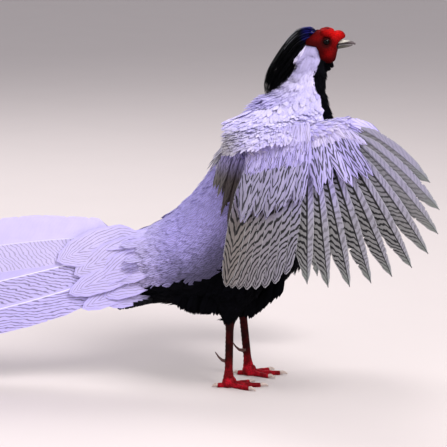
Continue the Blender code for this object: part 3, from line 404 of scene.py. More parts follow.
class Sheaf:
    """Feathers that become one mesh. Each is a thin closed blade, in rings of points along its length."""

    def __init__(self):
        self.points, self.faces, self.uv = [], [], []
        self.values = {"feather": [], "trait": [], "coat": [], "bars": []}
        self.count = 0

    def add(
        self, root, along, side, length, inner, outer, outline, rows, across=(-1, 0, 1), under=(), lift=0.0,
        curl=0.0, reach=None, bend=None, roll=0.0, slant=0.1, facing=None, **look
    ):
        """One blade for each root.

        side points to the outer web. outer and inner are the half widths in metres. The blade arches
        by curl radians a metre and is level again at reach. roll lifts the outer web. across holds the
        places of the upper points of a ring, from -1 to 1, and under those of its lower points.
        """
        root, along = np.atleast_2d(root), unit(np.atleast_2d(along))
        n = len(root)
        side = np.broadcast_to(np.atleast_2d(side), (n, 3))
        side = unit(side - along * (side * along).sum(-1, keepdims=True))
        up = np.cross(along, side)
        if facing is not None:
            flip = np.sign((up * np.atleast_2d(facing)).sum(-1, keepdims=True))
            up = up * np.where(flip == 0, 1, flip)
        a = np.array([*across, *under[::-1]], float)[None, None, :]
        b = np.linspace(0, 1, rows)[None, :, None]
        length, lift, curl, roll = (spread(value, n) for value in (length, lift, curl, roll))
        reach = length if reach is None else spread(reach, n)
        s = b + (1 - b) * slant * np.abs(a)
        root_, along_, side_, up_ = (v[:, None, None, :] for v in (root, along, side, up))
        bend_ = np.broadcast_to(np.zeros(3) if bend is None else bend, (n, 3))[:, None, None, :]
        s_, r_, length_, curl_, reach_ = (v[..., None] for v in (s, s * length, length, curl, reach))
        middle = root_ + along_ * r_ + up_ * (lift[..., None] + curl_ / 2 * r_ * (reach_ - r_))
        middle = middle + bend_ * (4 * s_ * (1 - s_))
        ahead = along_ * length_ + up_ * curl_ * length_ * (reach_ / 2 - r_) + bend_ * (4 - 8 * s_)
        half = np.where(a < 0, spread(inner, n), spread(outer, n)) * eased(s, outline)
        self.gather(middle, unit(ahead), side_, up_, s, a, half, length, roll, across, under, **look)

    def ribbons(self, paths, sides, half, outline, across=(-1, 0, 1), under=(), **look):
        """Blades along given paths, an array of feathers by rows by 3, with their sideways directions."""
        n, rows = paths.shape[:2]
        length = np.linalg.norm(np.diff(paths, axis=1), axis=2).sum(1)[:, None, None]
        ahead = unit(np.gradient(paths, axis=1))[:, :, None, :]
        side = np.broadcast_to(sides, paths.shape)[:, :, None, :]
        side = unit(side - ahead * (side * ahead).sum(-1, keepdims=True))
        a = np.array([*across, *under[::-1]], float)[None, None, :]
        s = np.linspace(0, 1, rows)[None, :, None] + 0 * a
        half = spread(half, n) * eased(s, outline)
        up = np.cross(ahead, side)
        self.gather(paths[:, :, None, :], ahead, side, up, s, a, half, length, 0.0, across, under, **look)

    def gather(
        self, middle, ahead, side, up, s, a, half, length, roll, across, under, camber=0.15, fray=0.0,
        thick=0.0003, rib=0.0002, colour=WHITE, strength=1.0, bars=(2.0, 0.01, 0.3), patch=(0.5, 0.5),
        patch_size=(0.0015, 0.0015)
    ):
        """Rings of points round each blade's middle line, with what the materials read from them.

        bars holds how steeply the dark lines run back from the shaft, their spacing and their share.
        """
        n, rows, ring = np.broadcast_shapes(middle.shape[:3], s.shape, a.shape)
        s = np.broadcast_to(s, (n, rows, ring))
        small, deep = RNG.random((n, rows, 2)), RNG.random((n, rows, 2))
        split = RNG.random((n, rows, 2)) < SPLIT_SHARE
        ragged = 1 - spread(fray, n) * (0.18 * small + 0.9 * deep * split)
        ragged[:, 0] = 1
        off = a * half * lerp(1.0, np.where(a < 0, ragged[:, :, :1], ragged[:, :, 1:]), np.abs(a))
        here_side = unit(side - ahead * (side * ahead).sum(-1, keepdims=True))
        here_up = up - ahead * (up * ahead).sum(-1, keepdims=True)
        here_up = unit(here_up - here_side * (up * here_side).sum(-1, keepdims=True))
        turn = spread(np.reshape(roll, -1), n)[..., None]
        web = here_side * np.cos(turn) + here_up * np.sin(turn)
        face = here_up * np.cos(turn) - here_side * np.sin(turn)
        above = np.array([1.0] * len(across) + [-1.0] * len(under))[None, None, :]
        body = thick / 2 * np.clip(1 - np.abs(a) ** 4, 0, 1)
        shaft = np.exp(-((off / SHAFT_SPREAD) ** 2)) * rib * (1 - 0.75 * s)
        height = above * (body + shaft) - spread(camber, n) * off * off / np.maximum(half, 1e-5)
        points = middle + web * off[..., None] + face * height[..., None]
        self.points.append(points.reshape(-1, 3))
        self.put("feather", off, s * length, (1 - s) * length)
        self.put("trait", half - np.abs(off), spread(RNG.random(n), n), spread(strength, n))
        for name, value in (("coat", colour), ("bars", bars)):
            value = np.broadcast_to(np.atleast_2d(value), (n, 3))[:, None, None, :]
            self.values[name].append(np.broadcast_to(value, points.shape).reshape(-1, 3))
        patch = np.broadcast_to(np.atleast_2d(patch), (n, 2))[:, None, None, :]
        u = patch[..., 0] + patch_size[0] * a
        v = patch[..., 1] + patch_size[1] * (2 * s - 1)
        self.uv.append(stack(u, v).reshape(-1, 2))
        base = self.count + np.arange(n)[:, None, None] * (rows * ring)
        i = np.arange(rows - 1)[None, :, None] * ring
        k = np.arange(ring)[None, None, :]
        k2 = (k + 1) % ring
        quads = stack(base + i + k2, base + i + k, base + i + ring + k, base + i + ring + k2)
        first = base[:, 0] + np.arange(ring)[None, :]
        last = base[:, 0] + (rows - 1) * ring + np.arange(ring)[None, ::-1]
        turned = (np.cross(ahead, side) * up).sum(-1).reshape(n, -1)[:, 0] < 0
        self.faces.append(np.where(turned[:, None, None, None], quads[..., ::-1], quads).reshape(-1, 4))
        for cap in (first, last):
            self.faces.append(np.where(turned[:, None], cap[:, ::-1], cap))
        self.count += n * rows * ring

    def put(self, name, *three):
        self.values[name].append(stack(*three).reshape(-1, 3))

    def build(self, name, material, slot, tone=None):
        """The mesh of all the blades. tone gives each point a colour from its place and its own colour."""
        points = np.concatenate(self.points)
        if tone:
            self.values["coat"] = [tone(points, np.concatenate(self.values["coat"]))]
        obj = mesh_piece(name, points, self.faces, material, slot, sharp=70.0)
        for key, values in self.values.items():
            put_vectors(obj.data, key, np.concatenate(values))
        put_uv(obj.data, "OFBake", np.concatenate(self.uv))
        return obj


class Shader:
    """A node material, written as sums of its parts."""

    def __init__(self, name, roughness=0.6, **fixed):
        self.material = bpy.data.materials.new(name)
        self.material.use_nodes = True
        self.tree = self.material.node_tree
        self.shader = self.tree.nodes["Principled BSDF"]
        self.shader.inputs["Roughness"].default_value = roughness
        for socket, value in fixed.items():
            self.shader.inputs[socket.replace("_", " ")].default_value = value

    def node(self, kind, inputs=(), **settings):
        made = self.tree.nodes.new(kind)
        for key, value in settings.items():
            setattr(made, key, value)
        for key, value in dict(inputs).items():
            self.feed(made.inputs[key], value)
        return made

    def feed(self, socket, value):
        if isinstance(value, bpy.types.NodeSocket):
            self.tree.links.new(value, socket)
        elif isinstance(value, tuple) and len(value) == 3 and socket.type == "RGBA":
            socket.default_value = (*value, 1.0)
        else:
            socket.default_value = value

    def math(self, operation, a, b=0.0, c=0.0, clamp=False):
        return self.node(
            "ShaderNodeMath", {0: a, 1: b, 2: c}, operation=operation, use_clamp=clamp
        ).outputs[0]

    def add(self, a, b):
        return self.math("ADD", a, b)

    def inverse(self, value):
        return self.math("SUBTRACT", 1.0, value)

    def times(self, a, b):
        return self.math("MULTIPLY", a, b)

    def parts(self, name):
        """The three numbers that the mesh carries under this name."""
        vector = self.node("ShaderNodeAttribute", attribute_name=name).outputs["Vector"]
        return self.node("ShaderNodeSeparateXYZ", {0: vector}).outputs[:3]

    def step(self, value, low, high):
        """0 under low and 1 over high, smoothly between them."""
        return self.node(
            "ShaderNodeMapRange", {0: value, 1: low, 2: high}, interpolation_type="SMOOTHSTEP"
        ).outputs[0]

    def mix(self, share, a, b):
        made = self.node("ShaderNodeMix", data_type="RGBA")
        self.feed(made.inputs[0], share)
        self.feed(made.inputs[6], a)
        self.feed(made.inputs[7], b)
        return made.outputs[2]

    def place(self):
        return self.node("ShaderNodeTexCoord").outputs["Object"]

    def xyz(self):
        return self.node("ShaderNodeSeparateXYZ", {0: self.place()}).outputs[:3]

    def coat(self):
        """The colour that the mesh carries."""
        return self.node("ShaderNodeAttribute", attribute_name="coat").outputs["Color"]

    def noise(self, scale, vector=None, detail=2.0):
        return self.node(
            "ShaderNodeTexNoise", {"Vector": vector or self.place(), "Scale": scale, "Detail": detail}
        ).outputs["Fac"]

    def join(self, x, y, z):
        return self.node("ShaderNodeCombineXYZ", {0: x, 1: y, 2: z}).outputs[0]

    def bump(self, height, distance, strength=1.0):
        made = self.node("ShaderNodeBump", {"Height": height, "Distance": distance, "Strength": strength})
        self.tree.links.new(made.outputs[0], self.shader.inputs["Normal"])

    def colour(self, value):
        self.feed(self.shader.inputs["Base Color"], value)
        return self.material


def vane_lines(shader, wobble, webs=(1.0, 1.0), nest=None):
    """Dark wavy lines that run back from the shaft to both edges, as a share from 0 to 1.

    nest is how far from the tip they begin to follow the edge instead, how much they still run with
    the length, and how fast they change with the distance to the edge.
    """
    off, dist, left = shader.parts("feather")
    edge, tint, strength = shader.parts("trait")
    steep, period, width = shader.parts("bars")
    spread = shader.math("ABSOLUTE", off)
    seed = shader.times(tint, 37.0)
    ripple = shader.noise(1.0, shader.join(shader.times(off, 190.0), shader.times(dist, 75.0), seed), 1.0)
    drift = shader.noise(1.0, shader.join(shader.times(off, 60.0), shader.times(dist, 25.0), seed), 0.0)
    run = shader.add(dist, shader.times(spread, steep))
    if nest:
        reach, length_share, pull = nest
        slow = shader.math("MULTIPLY_ADD", left, 1 - length_share, (length_share - 1) * 0.5 * reach)
        nested = shader.add(shader.add(dist, slow), shader.math("MULTIPLY_ADD", edge, -pull, 0.015 * pull))
        share = shader.inverse(shader.step(left, 0.25 * reach, reach))
        run = shader.add(run, shader.times(share, shader.math("SUBTRACT", nested, run)))
    phase = shader.math("DIVIDE", run, period)
    phase = shader.add(phase, shader.times(ripple, wobble))
    phase = shader.add(phase, shader.add(shader.times(drift, 1.6 * wobble), shader.times(tint, 3.0)))
    wave = shader.times(shader.math("PINGPONG", phase, 0.5), 2.0)
    thin = shader.noise(1.0, shader.join(shader.times(off, 300.0), shader.times(dist, 150.0), seed), 1.0)
    level = shader.math("SUBTRACT", shader.add(0.78, shader.times(thin, 0.44)), width)
    lines = shader.math("MULTIPLY_ADD", shader.math("SUBTRACT", wave, level), 4.5, 0.5, clamp=True)
    outer = shader.step(off, -0.0002, 0.0002)
    web = shader.add(shader.times(outer, webs[1] - webs[0]), webs[0])
    return shader.times(shader.times(lines, web), strength), off, left, edge, tint


def barbs(shader, spacing=0.0011, slope=1.6):
    """Fine ridges of the barbs, which leave the shaft towards the tip."""
    off, dist, _ = shader.parts("feather")
    run = shader.add(dist, shader.times(shader.math("ABSOLUTE", off), -slope))
    return shader.math("SINE", shader.times(run, 2 * math.pi / spacing))


def vane_material(
    name, line, wobble, webs, shaft, shaft_width, margin, rim_colour, rim_share=0.75, nest=None, tip=None,
    tip_reach=0.03, inner=None
):
    """A large feather: its own base colour, dark lines, a pale rim and a shaft that thins to the tip."""
    made = Shader(name, 0.62, Sheen_Weight=0.1, Specular_IOR_Level=0.25)
    coat = made.coat()
    lines, off, left, edge, tint = vane_lines(made, wobble, webs, nest)
    rim = made.inverse(made.step(edge, margin * 0.35, margin * 1.3))
    lines = made.times(lines, made.inverse(made.times(rim, 0.9)))
    worn = made.add(made.times(made.noise(55.0), 0.35), made.times(tint, 0.15))
    body = made.mix(worn, coat, made.mix(0.45, coat, (0.05, 0.05, 0.05)))
    if inner:
        body = made.mix(made.math("MULTIPLY_ADD", made.step(off, -0.0003, 0.0003), -0.6, 0.6), body, inner)
    if tip:
        fade = made.inverse(made.step(left, 0.0, tip_reach))
        body = made.mix(made.times(fade, 0.8), body, tip)
        lines = made.times(lines, made.inverse(made.times(fade, 0.75)))
    body = made.mix(lines, body, line)
    body = made.mix(made.times(rim, rim_share), body, rim_colour)
    spread = made.math("ABSOLUTE", off)
    taper = made.math("MULTIPLY_ADD", left, 5.5, 0.25, clamp=True)
    core = made.step(made.math("DIVIDE", spread, taper), shaft_width * 0.5, shaft_width)
    strength = made.parts("trait")[2]
    body = made.mix(made.times(made.inverse(core), strength), body, shaft)
    made.bump(barbs(made), 0.00012, 0.7)
    return made.colour(body)


def plumage_material(name, roughness=0.7, lines=0.0, gloss=0.2, spacing=0.0009):
    """Small body feathers: their own colour, with soft barbs and faint lines near the edges."""
    made = Shader(name, roughness, Specular_IOR_Level=gloss)
    coat = made.coat()
    dark, *_, tint = vane_lines(made, 0.5)
    worn = made.add(made.times(made.noise(40.0), 0.25), made.times(tint, 0.25))
    body = made.mix(worn, coat, made.mix(0.35, coat, (0.02, 0.02, 0.03)))
    if lines:
        body = made.mix(made.times(dark, lines), body, (0.055, 0.05, 0.08))
    made.bump(barbs(made, spacing), 0.00015, 0.8)
    return made.colour(body)


def stage_and_light():
    """Camera as in the photograph, a plain pale floor and soft lamps."""
    data = bpy.data.cameras.new("camera")
    data.sensor_width = SENSOR
    data.lens = SENSOR * CAMERA_DISTANCE / (PIXEL_SIZE * FRAME_PIXELS)
    camera = placed("camera", data)
    back = np.array((0, -math.cos(CAMERA_ELEVATION), math.sin(CAMERA_ELEVATION)))
    camera.location = CAMERA_TARGET + SHIFT + back * CAMERA_DISTANCE
    camera.rotation_euler = (math.pi / 2 - CAMERA_ELEVATION, 0, 0)
    bpy.context.scene.camera = camera
    world = bpy.data.worlds.new("soft_room")
    world.use_nodes = True
    world.node_tree.nodes["Background"].inputs["Color"].default_value = (*ROOM_COLOUR, 1)
    world.node_tree.nodes["Background"].inputs["Strength"].default_value = ROOM_LIGHT
    bpy.context.scene.world = world
    for name, place, size, power in LAMPS:
        lamp = bpy.data.lights.new(name, "AREA")
        lamp.size = size
        lamp.energy = power
        obj = placed(name, lamp)
        obj.location = place
        obj.rotation_euler = (Vector(LAMP_TARGET) - Vector(place)).to_track_quat("-Z", "Y").to_euler()
    bpy.context.scene.view_settings.view_transform = "Standard"
    paint = Shader("floor_paint", 0.8)
    dim = tuple(0.9 * c for c in FLOOR_COLOUR)
    paint.colour(paint.mix(paint.times(paint.noise(6.0), 0.3), FLOOR_COLOUR, dim))
    mesh = bpy.data.meshes.new("floor")
    h = FLOOR_HALF
    mesh.from_pydata([(-h, -h, 0), (h, -h, 0), (h, h, 0), (-h, h, 0)], [], [(0, 1, 2, 3)])
    mesh.materials.append(paint.material)
    placed("floor", mesh)


def flesh_mesh(nodes, voxel, smoothing):
    """One closed mesh over the nodes: points and normals in the bird's frame, and its quads."""
    shape = bmesh.new()
    for name in nodes:
        shape.from_mesh(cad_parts[name].data)
    mesh = bpy.data.meshes.new("flesh")
    shape.to_mesh(mesh)
    shape.free()
    obj = placed("flesh", mesh)
    remesh = obj.modifiers.new("remesh", "REMESH")
    remesh.mode = "VOXEL"
    remesh.voxel_size = voxel
    soften = obj.modifiers.new("soften", "SMOOTH")
    soften.iterations = smoothing
    graph = bpy.context.evaluated_depsgraph_get()
    made = bpy.data.meshes.new_from_object(obj.evaluated_get(graph))
    bpy.data.objects.remove(obj)
    points, normals = (read(made.vertices, key, 3).astype(float) for key in ("co", "normal"))
    quads = read(made.loops, "vertex_index", 1, np.int32).reshape(-1, 4)
    bpy.data.meshes.remove(made)
    return points - SHIFT, normals, quads


def outline_gap(points, outline):
    """Distance of each point, in side view, to a closed outline: positive inside it."""
    flat = side_view(points)
    closed = np.vstack((outline, outline[:1]))
    inside = np.zeros(len(flat), bool)
    for (x0, z0), (x1, z1) in zip(closed[:-1], closed[1:]):
        crosses = (z0 > flat[:, 1]) != (z1 > flat[:, 1])
        at = (x1 - x0) * (flat[:, 1] - z0) / (z1 - z0 + 1e-12) + x0
        inside ^= crosses & (flat[:, 0] < at)
    gap = np.abs(along_line(flat, closed)[0])
    return np.where(inside, gap, -gap)


def bare_gap(points):
    """How far each point lies inside the bare red skin, which leaves the middle of the crown feathered."""
    crown = np.abs(points[:, 1]) - 0.0042 + 0.6 * np.clip(points[:, 0] - 0.12, 0, None)
    return np.minimum(outline_gap(points, BARE_OUTLINE), crown)


def thigh_share(points):
    """1 on the feathered thighs, 0 away from them."""
    share = np.zeros(len(points))
    for sign in (-1, 1):
        shift = SHANK_TOP_X[sign] - SHANK_TOP_X[-1]
        a, b = np.array(HIP) * (1, sign, 1), np.array(HOCK) * (1, sign, 1) + (shift, 0, 0)
        way = b - a
        t = np.clip(((points - a) * way).sum(1) / (way @ way), 0, 1)
        near = norm(points - a - way * t[:, None])
        low = ease((0.178 - points[:, 2]) / 0.03)
        share = np.maximum(share, (near < 0.042) * low * (np.abs(points[:, 1]) > 0.008))
    return share


def body_map(points):
    """Place along the spine from the bill to the vent, distance into the black, and the spine's way."""
    flat = side_view(points)
    _, place, way = along_line(flat, SPINE)
    black, _, _ = along_line(flat, BLACK_EDGE)
    return place, black, way


def skin_uv(points):
    """An unwrap of the skin's own shape: along the spine, and round it from the back."""
    place, _, way = body_map(points)
    rise = ((side_view(points) - spline(SPINE, place)) * stack(-way[:, 1], way[:, 0])).sum(1)
    turn = np.arctan2(points[:, 1], -rise) / (2 * math.pi) + 0.5
    thigh = thigh_share(points) > 0.5
    u = np.where(thigh, 0.92 + 0.4 * (points[:, 0] - HOCK[0]) * np.sign(points[:, 1]), 0.02 + 0.8 * place)
    v = np.where(thigh, 0.25 + 2.2 * (points[:, 2] - 0.1) + 0.4 * (points[:, 1] > 0), 0.02 + 0.96 * turn)
    return stack(u, v)


def coat_colour(points, jitter=0.0):
    """The colour of the coat at each point, and where it is black."""
    place, into_black, _ = body_map(points)
    wobble = jitter * (RNG.random(len(points)) - 0.5)
    crown = -along_line(side_view(points), CROWN_EDGE)[0]
    black = (into_black + wobble > 0) | (thigh_share(points) > 0.3)
    black |= (crown + 0.4 * wobble > 0) & (points[:, 2] > 0.47)
    black |= place < 0.02
    cheek = (outline_gap(points, CHEEK_OUTLINE) + 0.3 * wobble > 0) & ~(crown > 0)
    black &= ~cheek
    shade = ease((place - 0.16) / 0.3)
    white = lerp(WHITE, LAVENDER, shade[:, None])
    # The flank darkens towards the black underparts, and far more near the wing: painted shadow of the wing
    low = ease((into_black + 0.075) / 0.07) * ease((place - 0.45) / 0.15)
    wing_shadow = ease((points[:, 0] + 0.105) / 0.055)
    white = lerp(white, FLANK_AND_WING_SHADOW, (low * lerp(0.25, 0.88, wing_shadow))[:, None])
    # Whiter towards the rump: partly its own whiter tone, partly painted light where it lies turned away
    # from the key lamp
    rump = ease((-0.07 - points[:, 0]) / 0.06)[:, None]
    white = lerp(white, TAIL_WHITE, 0.65 * rump)
    grey = 0.8 * cheek * ease((points[:, 2] - 0.474) / 0.014)
    white = lerp(white, CHEEK_GREY, grey[:, None])
    return np.where(black[:, None], BLACK, white), black


def skin():
    """The skin under the coat, which lies inside the flesh by the depth of the feathers."""
    points, normals, quads = flesh_mesh(
        ("torso", "neck", "head", "thigh_right", "thigh_left"), SKIN_VOXEL, 5
    )
    place, *_ = body_map(points)
    depth = eased(place, COAT_DEPTHS) * lerp(1.0, 0.8, thigh_share(points))
    points = points - normals * depth[:, None]
    paint = Shader("skin_down", 0.9, Specular_IOR_Level=0.1)
    coat = paint.coat()
    down = paint.noise(260.0, detail=3.0)
    paint.bump(down, 0.0006)
    paint.colour(paint.mix(paint.times(down, 0.35), coat, paint.mix(0.5, coat, (0.03, 0.03, 0.04))))
    obj = mesh_piece("skin", points, [quads], paint.material, "body_plumage")
    put_vectors(obj.data, "coat", coat_colour(points)[0] * 0.8)
    put_uv(obj.data, "OFBake", skin_uv(points))
    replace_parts(obj, "torso", "neck", "thigh_right", "thigh_left")
    return points, normals, quads


def scattered(flesh, spacing_of, dense=5.0):
    """Points spread over the skin, no two closer than spacing_of says, with their normals."""
    points, normals, quads = flesh
    triangles = np.concatenate((quads[:, (0, 1, 2)], quads[:, (0, 2, 3)]))
    a, b, c = (points[triangles[:, k]] for k in range(3))
    area = norm(np.cross(b - a, c - a)) / 2
    spacing = spacing_of((a + b + c) / 3)
    number = (dense * area / spacing**2 + RNG.random(len(area))).astype(int)
    pick = np.repeat(np.arange(len(area)), number)
    u, v = RNG.random((2, len(pick), 1))
    u, v = np.where(u + v > 1, 1 - u, u), np.where(u + v > 1, 1 - v, v)
    spots = a[pick] + (b[pick] - a[pick]) * u + (c[pick] - a[pick]) * v
    n0, n1, n2 = (normals[triangles[pick, k]] for k in range(3))
    facing = unit(n0 + (n1 - n0) * u + (n2 - n0) * v)
    order = RNG.permutation(len(spots))
    spots, facing, near = spots[order], facing[order], spacing[pick][order]
    tree = KDTree(len(spots))
    for i, spot in enumerate(spots):
        tree.insert(spot, i)
    tree.balance()
    free = np.ones(len(spots), bool)
    kept = []
    for i in range(len(spots)):
        if free[i]:
            kept.append(i)
            for _, j, _ in tree.find_range(spots[i], near[i]):
                free[j] = False
    return spots[kept], facing[kept]


def feather_sizes(points):
    """Length, half width and spacing of the small feathers at each point."""
    place, *_ = body_map(points)
    thigh = thigh_share(points)
    length = lerp(eased(place, COAT_LENGTHS), 0.015, thigh)
    half = lerp(eased(place, COAT_HALVES), 0.0034, thigh)
    cheek = outline_gap(points, CHEEK_OUTLINE) > 0
    return np.where(cheek, 0.011, length), np.where(cheek, 0.0012, half), np.where(
        cheek, 0.0009, half * 0.62
    )


def lie(points, normals, lift):
    """The way each feather runs: along the spine to the tail, down the thighs, and a little off the skin."""
    _, _, way = body_map(points)
    run = stack(way[:, 0], np.sign(points[:, 1]) * 0.05, way[:, 1])
    run = lerp(run, np.array((-0.35, 0.0, -0.95)), thigh_share(points)[:, None])
    rising = (run * normals).sum(1, keepdims=True)
    cap = ease((-0.12 - points[:, 0:1]) / 0.02) * ease((rising - 0.45) / 0.35)
    run = unit(lerp(unit(run - normals * rising), run, cap))
    return unit(run * np.cos(lift)[:, None] + normals * np.sin(lift)[:, None])


def coat(flesh):
    """The small feathers of head, neck, body and thighs, in several pieces."""
    spots, facing = scattered(flesh, lambda p: feather_sizes(p)[2])
    keep = bare_gap(spots) < 0.0004
    spots, facing = spots[keep], facing[keep]
    length, half, _ = feather_sizes(spots)
    length = length * RNG.uniform(0.85, 1.15, len(spots))
    place, into_black, run = body_map(spots)
    ventral = facing[:, 2] * run[:, 0] - facing[:, 0] * run[:, 1]
    nape = ease((-ventral - 0.05) / 0.5) * ease((place - 0.1) / 0.05) * ease((0.47 - place) / 0.1)
    throat = ease((ventral - 0.2) / 0.4) * ease((place - 0.05) / 0.04) * ease((0.42 - place) / 0.1)
    length = lerp(lerp(length, 0.028, nape), 0.017, throat)
    half = lerp(lerp(half, 0.0024, nape), 0.002, throat)
    lift = np.arctan2(eased(place, COAT_DEPTHS) * 1.1, length)
    lift = lerp(lerp(lift, HACKLE_LIFT, nape), HACKLE_LIFT, throat) * RNG.uniform(0.75, 1.15, len(spots))
    way = lie(spots, facing, lift)
    way = unit(way + np.cross(way, facing) * RNG.normal(0, 0.06, (len(spots), 1)))
    colours, black = coat_colour(spots, 0.003)
    covered = black & (spots[:, 0] < -0.128)
    colours = colours * RNG.uniform(0.9, 1.06, (len(spots), 1))
    low = ease((into_black + 0.075) / 0.06)
    strength = ease((place - 0.4) / 0.15) * lerp(0.5, 1.0, low)
    order = np.argsort(spots[:, 0])
    for name, mask, material, slot in (
        ("white_feathers", ~black, plumage_material("white_coat", 0.75, 0.75), "body_plumage"),
        (
            "black_feathers", black & ~covered, plumage_material("black_coat", 0.75, gloss=0.02),
            "dark_plumage"
        )
    ):
        chosen = order[mask[order]]
        for k, part in enumerate(np.array_split(chosen, len(chosen) // COAT_PIECE + 1)):
            sheaf = Sheaf()
            sheaf.add(
                spots[part] - facing[part] * 0.0006, way[part], np.cross(facing[part], way[part]),
                length[part], half[part], half[part], BODY_OUTLINE, 5, curl=3.5, slant=0.12,
                facing=facing[part], camber=0.18, fray=0.25, thick=0.0002, colour=colours[part],
                strength=strength[part], bars=(4.0, 0.0115, 0.3), patch=skin_uv(spots[part])
            )
            sheaf.build(f"{name}_{k}", material, slot)


def mantle(flesh):
    """Long pointed feathers that fall from the base of the neck over back, shoulders and wing bases."""
    spots, facing = scattered(flesh, lambda p: np.full(len(p), MANTLE_SPACING))
    gap = outline_gap(spots, MANTLE_OUTLINE)
    keep = gap > 0
    spots, facing = spots[keep], facing[keep]
    n = len(spots)
    back = np.clip((0.05 - spots[:, 0]) / 0.07, 0, 1)
    aside = 0.25 * np.sign(spots[:, 1]) * (1 - back)
    down = stack(lerp(-0.55, -0.42, back), aside, lerp(-0.83, -0.91, back))
    run = unit(down - facing * (down * facing).sum(1, keepdims=True))
    lift = np.radians(RNG.uniform(3, 8, n) + 6 * back * RNG.random(n) ** 2)[:, None]
    way = unit(run * np.cos(lift) + facing * np.sin(lift) + RNG.normal(0, 0.04, (n, 3)))
    length = lerp(0.038, 0.054, back) * RNG.uniform(0.8, 1.15, n)
    # Olive grey low on the back towards the wing: painted shade
    olive_shade = ease((0.41 - spots[:, 2]) / 0.04) * ease((0.03 - spots[:, 0]) / 0.04)
    tone = lerp(WHITE, LAVENDER, RNG.uniform(0, 0.5, (n, 1)))
    tone = lerp(tone, OLIVE_SHADE, (olive_shade * RNG.uniform(0.3, 1.0, n))[:, None])
    sheaf = Sheaf()
    sheaf.add(
        spots, way, np.cross(facing, way), length, length * 0.105, length * 0.105, COVERT_OUTLINE, 12,
        SOFT_ACROSS, curl=3.2, slant=0.12, facing=facing, camber=0.15, fray=0.45, colour=tone,
        strength=lerp(0.1, 0.8, olive_shade), bars=(4.5, 0.016, 0.34), patch=skin_uv(spots),
        patch_size=(0.003, 0.004)
    )
    sheaf.build("mantle_feathers", MANTLE_PAINT, "body_plumage")


def scapulars(sign, side_name):
    """Feathers that hang close together between the back and the wing, olive to dark brown: painted shade.
    """
    n = SCAPULARS
    t = (np.arange(n) + 0.5) / n
    root = lerp(np.array(SCAPULAR_START), np.array(SCAPULAR_END), t[:, None]) * (1, sign, 1)
    root = root + np.array((0.004, -0.006 * sign, 0.008)) * (np.arange(n) % 3)[:, None]
    way = stack(lerp(-0.34, -0.2, t), -0.06 * sign, -1)
    way = unit(way + RNG.normal(0, 0.025, (n, 3)))
    length = lerp(0.058, 0.128, ease(t * 1.3)) * RNG.uniform(0.9, 1.06, n)
    # Olive to dark brown, darker towards the wing: painted shade of the gap between back and wing
    tone = lerp(OLIVE_SHADE, BROWN_GAP_SHADE, np.clip(1.2 * t + RNG.uniform(-0.5, 0.4, n), 0, 1)[:, None])
    sheaf = Sheaf()
    patch, size = atlas(n, 6)
    sheaf.add(
        root, way, np.array((1.0, 0.3 * sign, 0.0)), length, 0.0085, 0.0075, COVERT_OUTLINE, 30,
        FINE_ACROSS[2:-2], (0,), curl=1.6, facing=np.array((-0.3, sign, 0.2)), camber=0.2, fray=0.45,
        rib=0.0004, colour=tone, strength=0.6, bars=(4.5, 0.016, 0.3), patch=patch, patch_size=size
    )
    sheaf.build(f"scapulars_{side_name}", SCAPULAR_PAINT, "flight_feathers", scapular_tone)


def scapular_tone(points, coat):
    """Lavender at the top, and from there down the feather's olive to dark brown, which is painted shade."""
    return lerp(coat, LAVENDER, 0.75 * ease((points[:, 2:3] - 0.318) / 0.045))


def shawl(sign, side_name):
    """Soft overlapping feathers from the base of the neck outwards over the arm."""
    elbow, wrist = (np.array(p) for p in ARM[sign][:2])
    n = SHAWL_FEATHERS
    t, out = RNG.random(n), RNG.uniform(0.0, 0.72, n)
    x = lerp(-0.004, 0.114, t)
    top = elbow[2] + ARM_RADII[1] + (wrist[2] - elbow[2]) * (x - elbow[0]) / (wrist[0] - elbow[0])

    def on_arc(share, along, above):
        y, z = spline(SHAWL_ARC, share).T
        return stack(along, sign * y, top + z + above)

    back = ease((0.07 - x) / 0.07)
    ruffle = RNG.uniform(-0.002, 0.002, n) + (0.2 - out).clip(0, None) * RNG.uniform(-0.03, 0.012, n)
    root = on_arc(out, x, ruffle - 0.001)
    tip = on_arc(
        out + RNG.uniform(0.2, 0.34, n), x - lerp(0.002, 0.024, back) + RNG.normal(0, 0.002, n),
        ruffle + 0.0015
    )
    way = tip - root
    # The white is darkened by 8 percent where the shawl faces up into the key lamp: painted shade
    tone = lerp(np.array(WHITE) * 0.92, LAVENDER, RNG.uniform(0.1, 0.7, (n, 1)))
    # Olive near the back, where the shawl meets the wing's base: painted shade
    olive_shade = ease((0.034 - x) / 0.038) * ease((out - 0.1 + RNG.normal(0, 0.06, n)) / 0.45)
    tone = lerp(tone, np.array(OLIVE_SHADE) * 1.25, 0.85 * olive_shade[:, None])
    sheaf = Sheaf()
    sheaf.add(
        root, way, np.array((1.0, 0.0, 0.1)), norm(way), 0.0044, 0.0044, BODY_OUTLINE, 6, SOFT_ACROSS,
        curl=4.0, facing=np.array((0.0, 0.6 * sign, 1.0)), fray=0.35, camber=0.15, thick=0.0002,
        colour=tone, strength=0.2, bars=(5.0, 0.016, 0.25), patch=stack(0.05 + 0.9 * t, 0.1 + 0.8 * out),
        patch_size=(0.003, 0.003)
    )
    sheaf.build(f"shawl_{side_name}", ARM_PAINT, "flight_feathers")


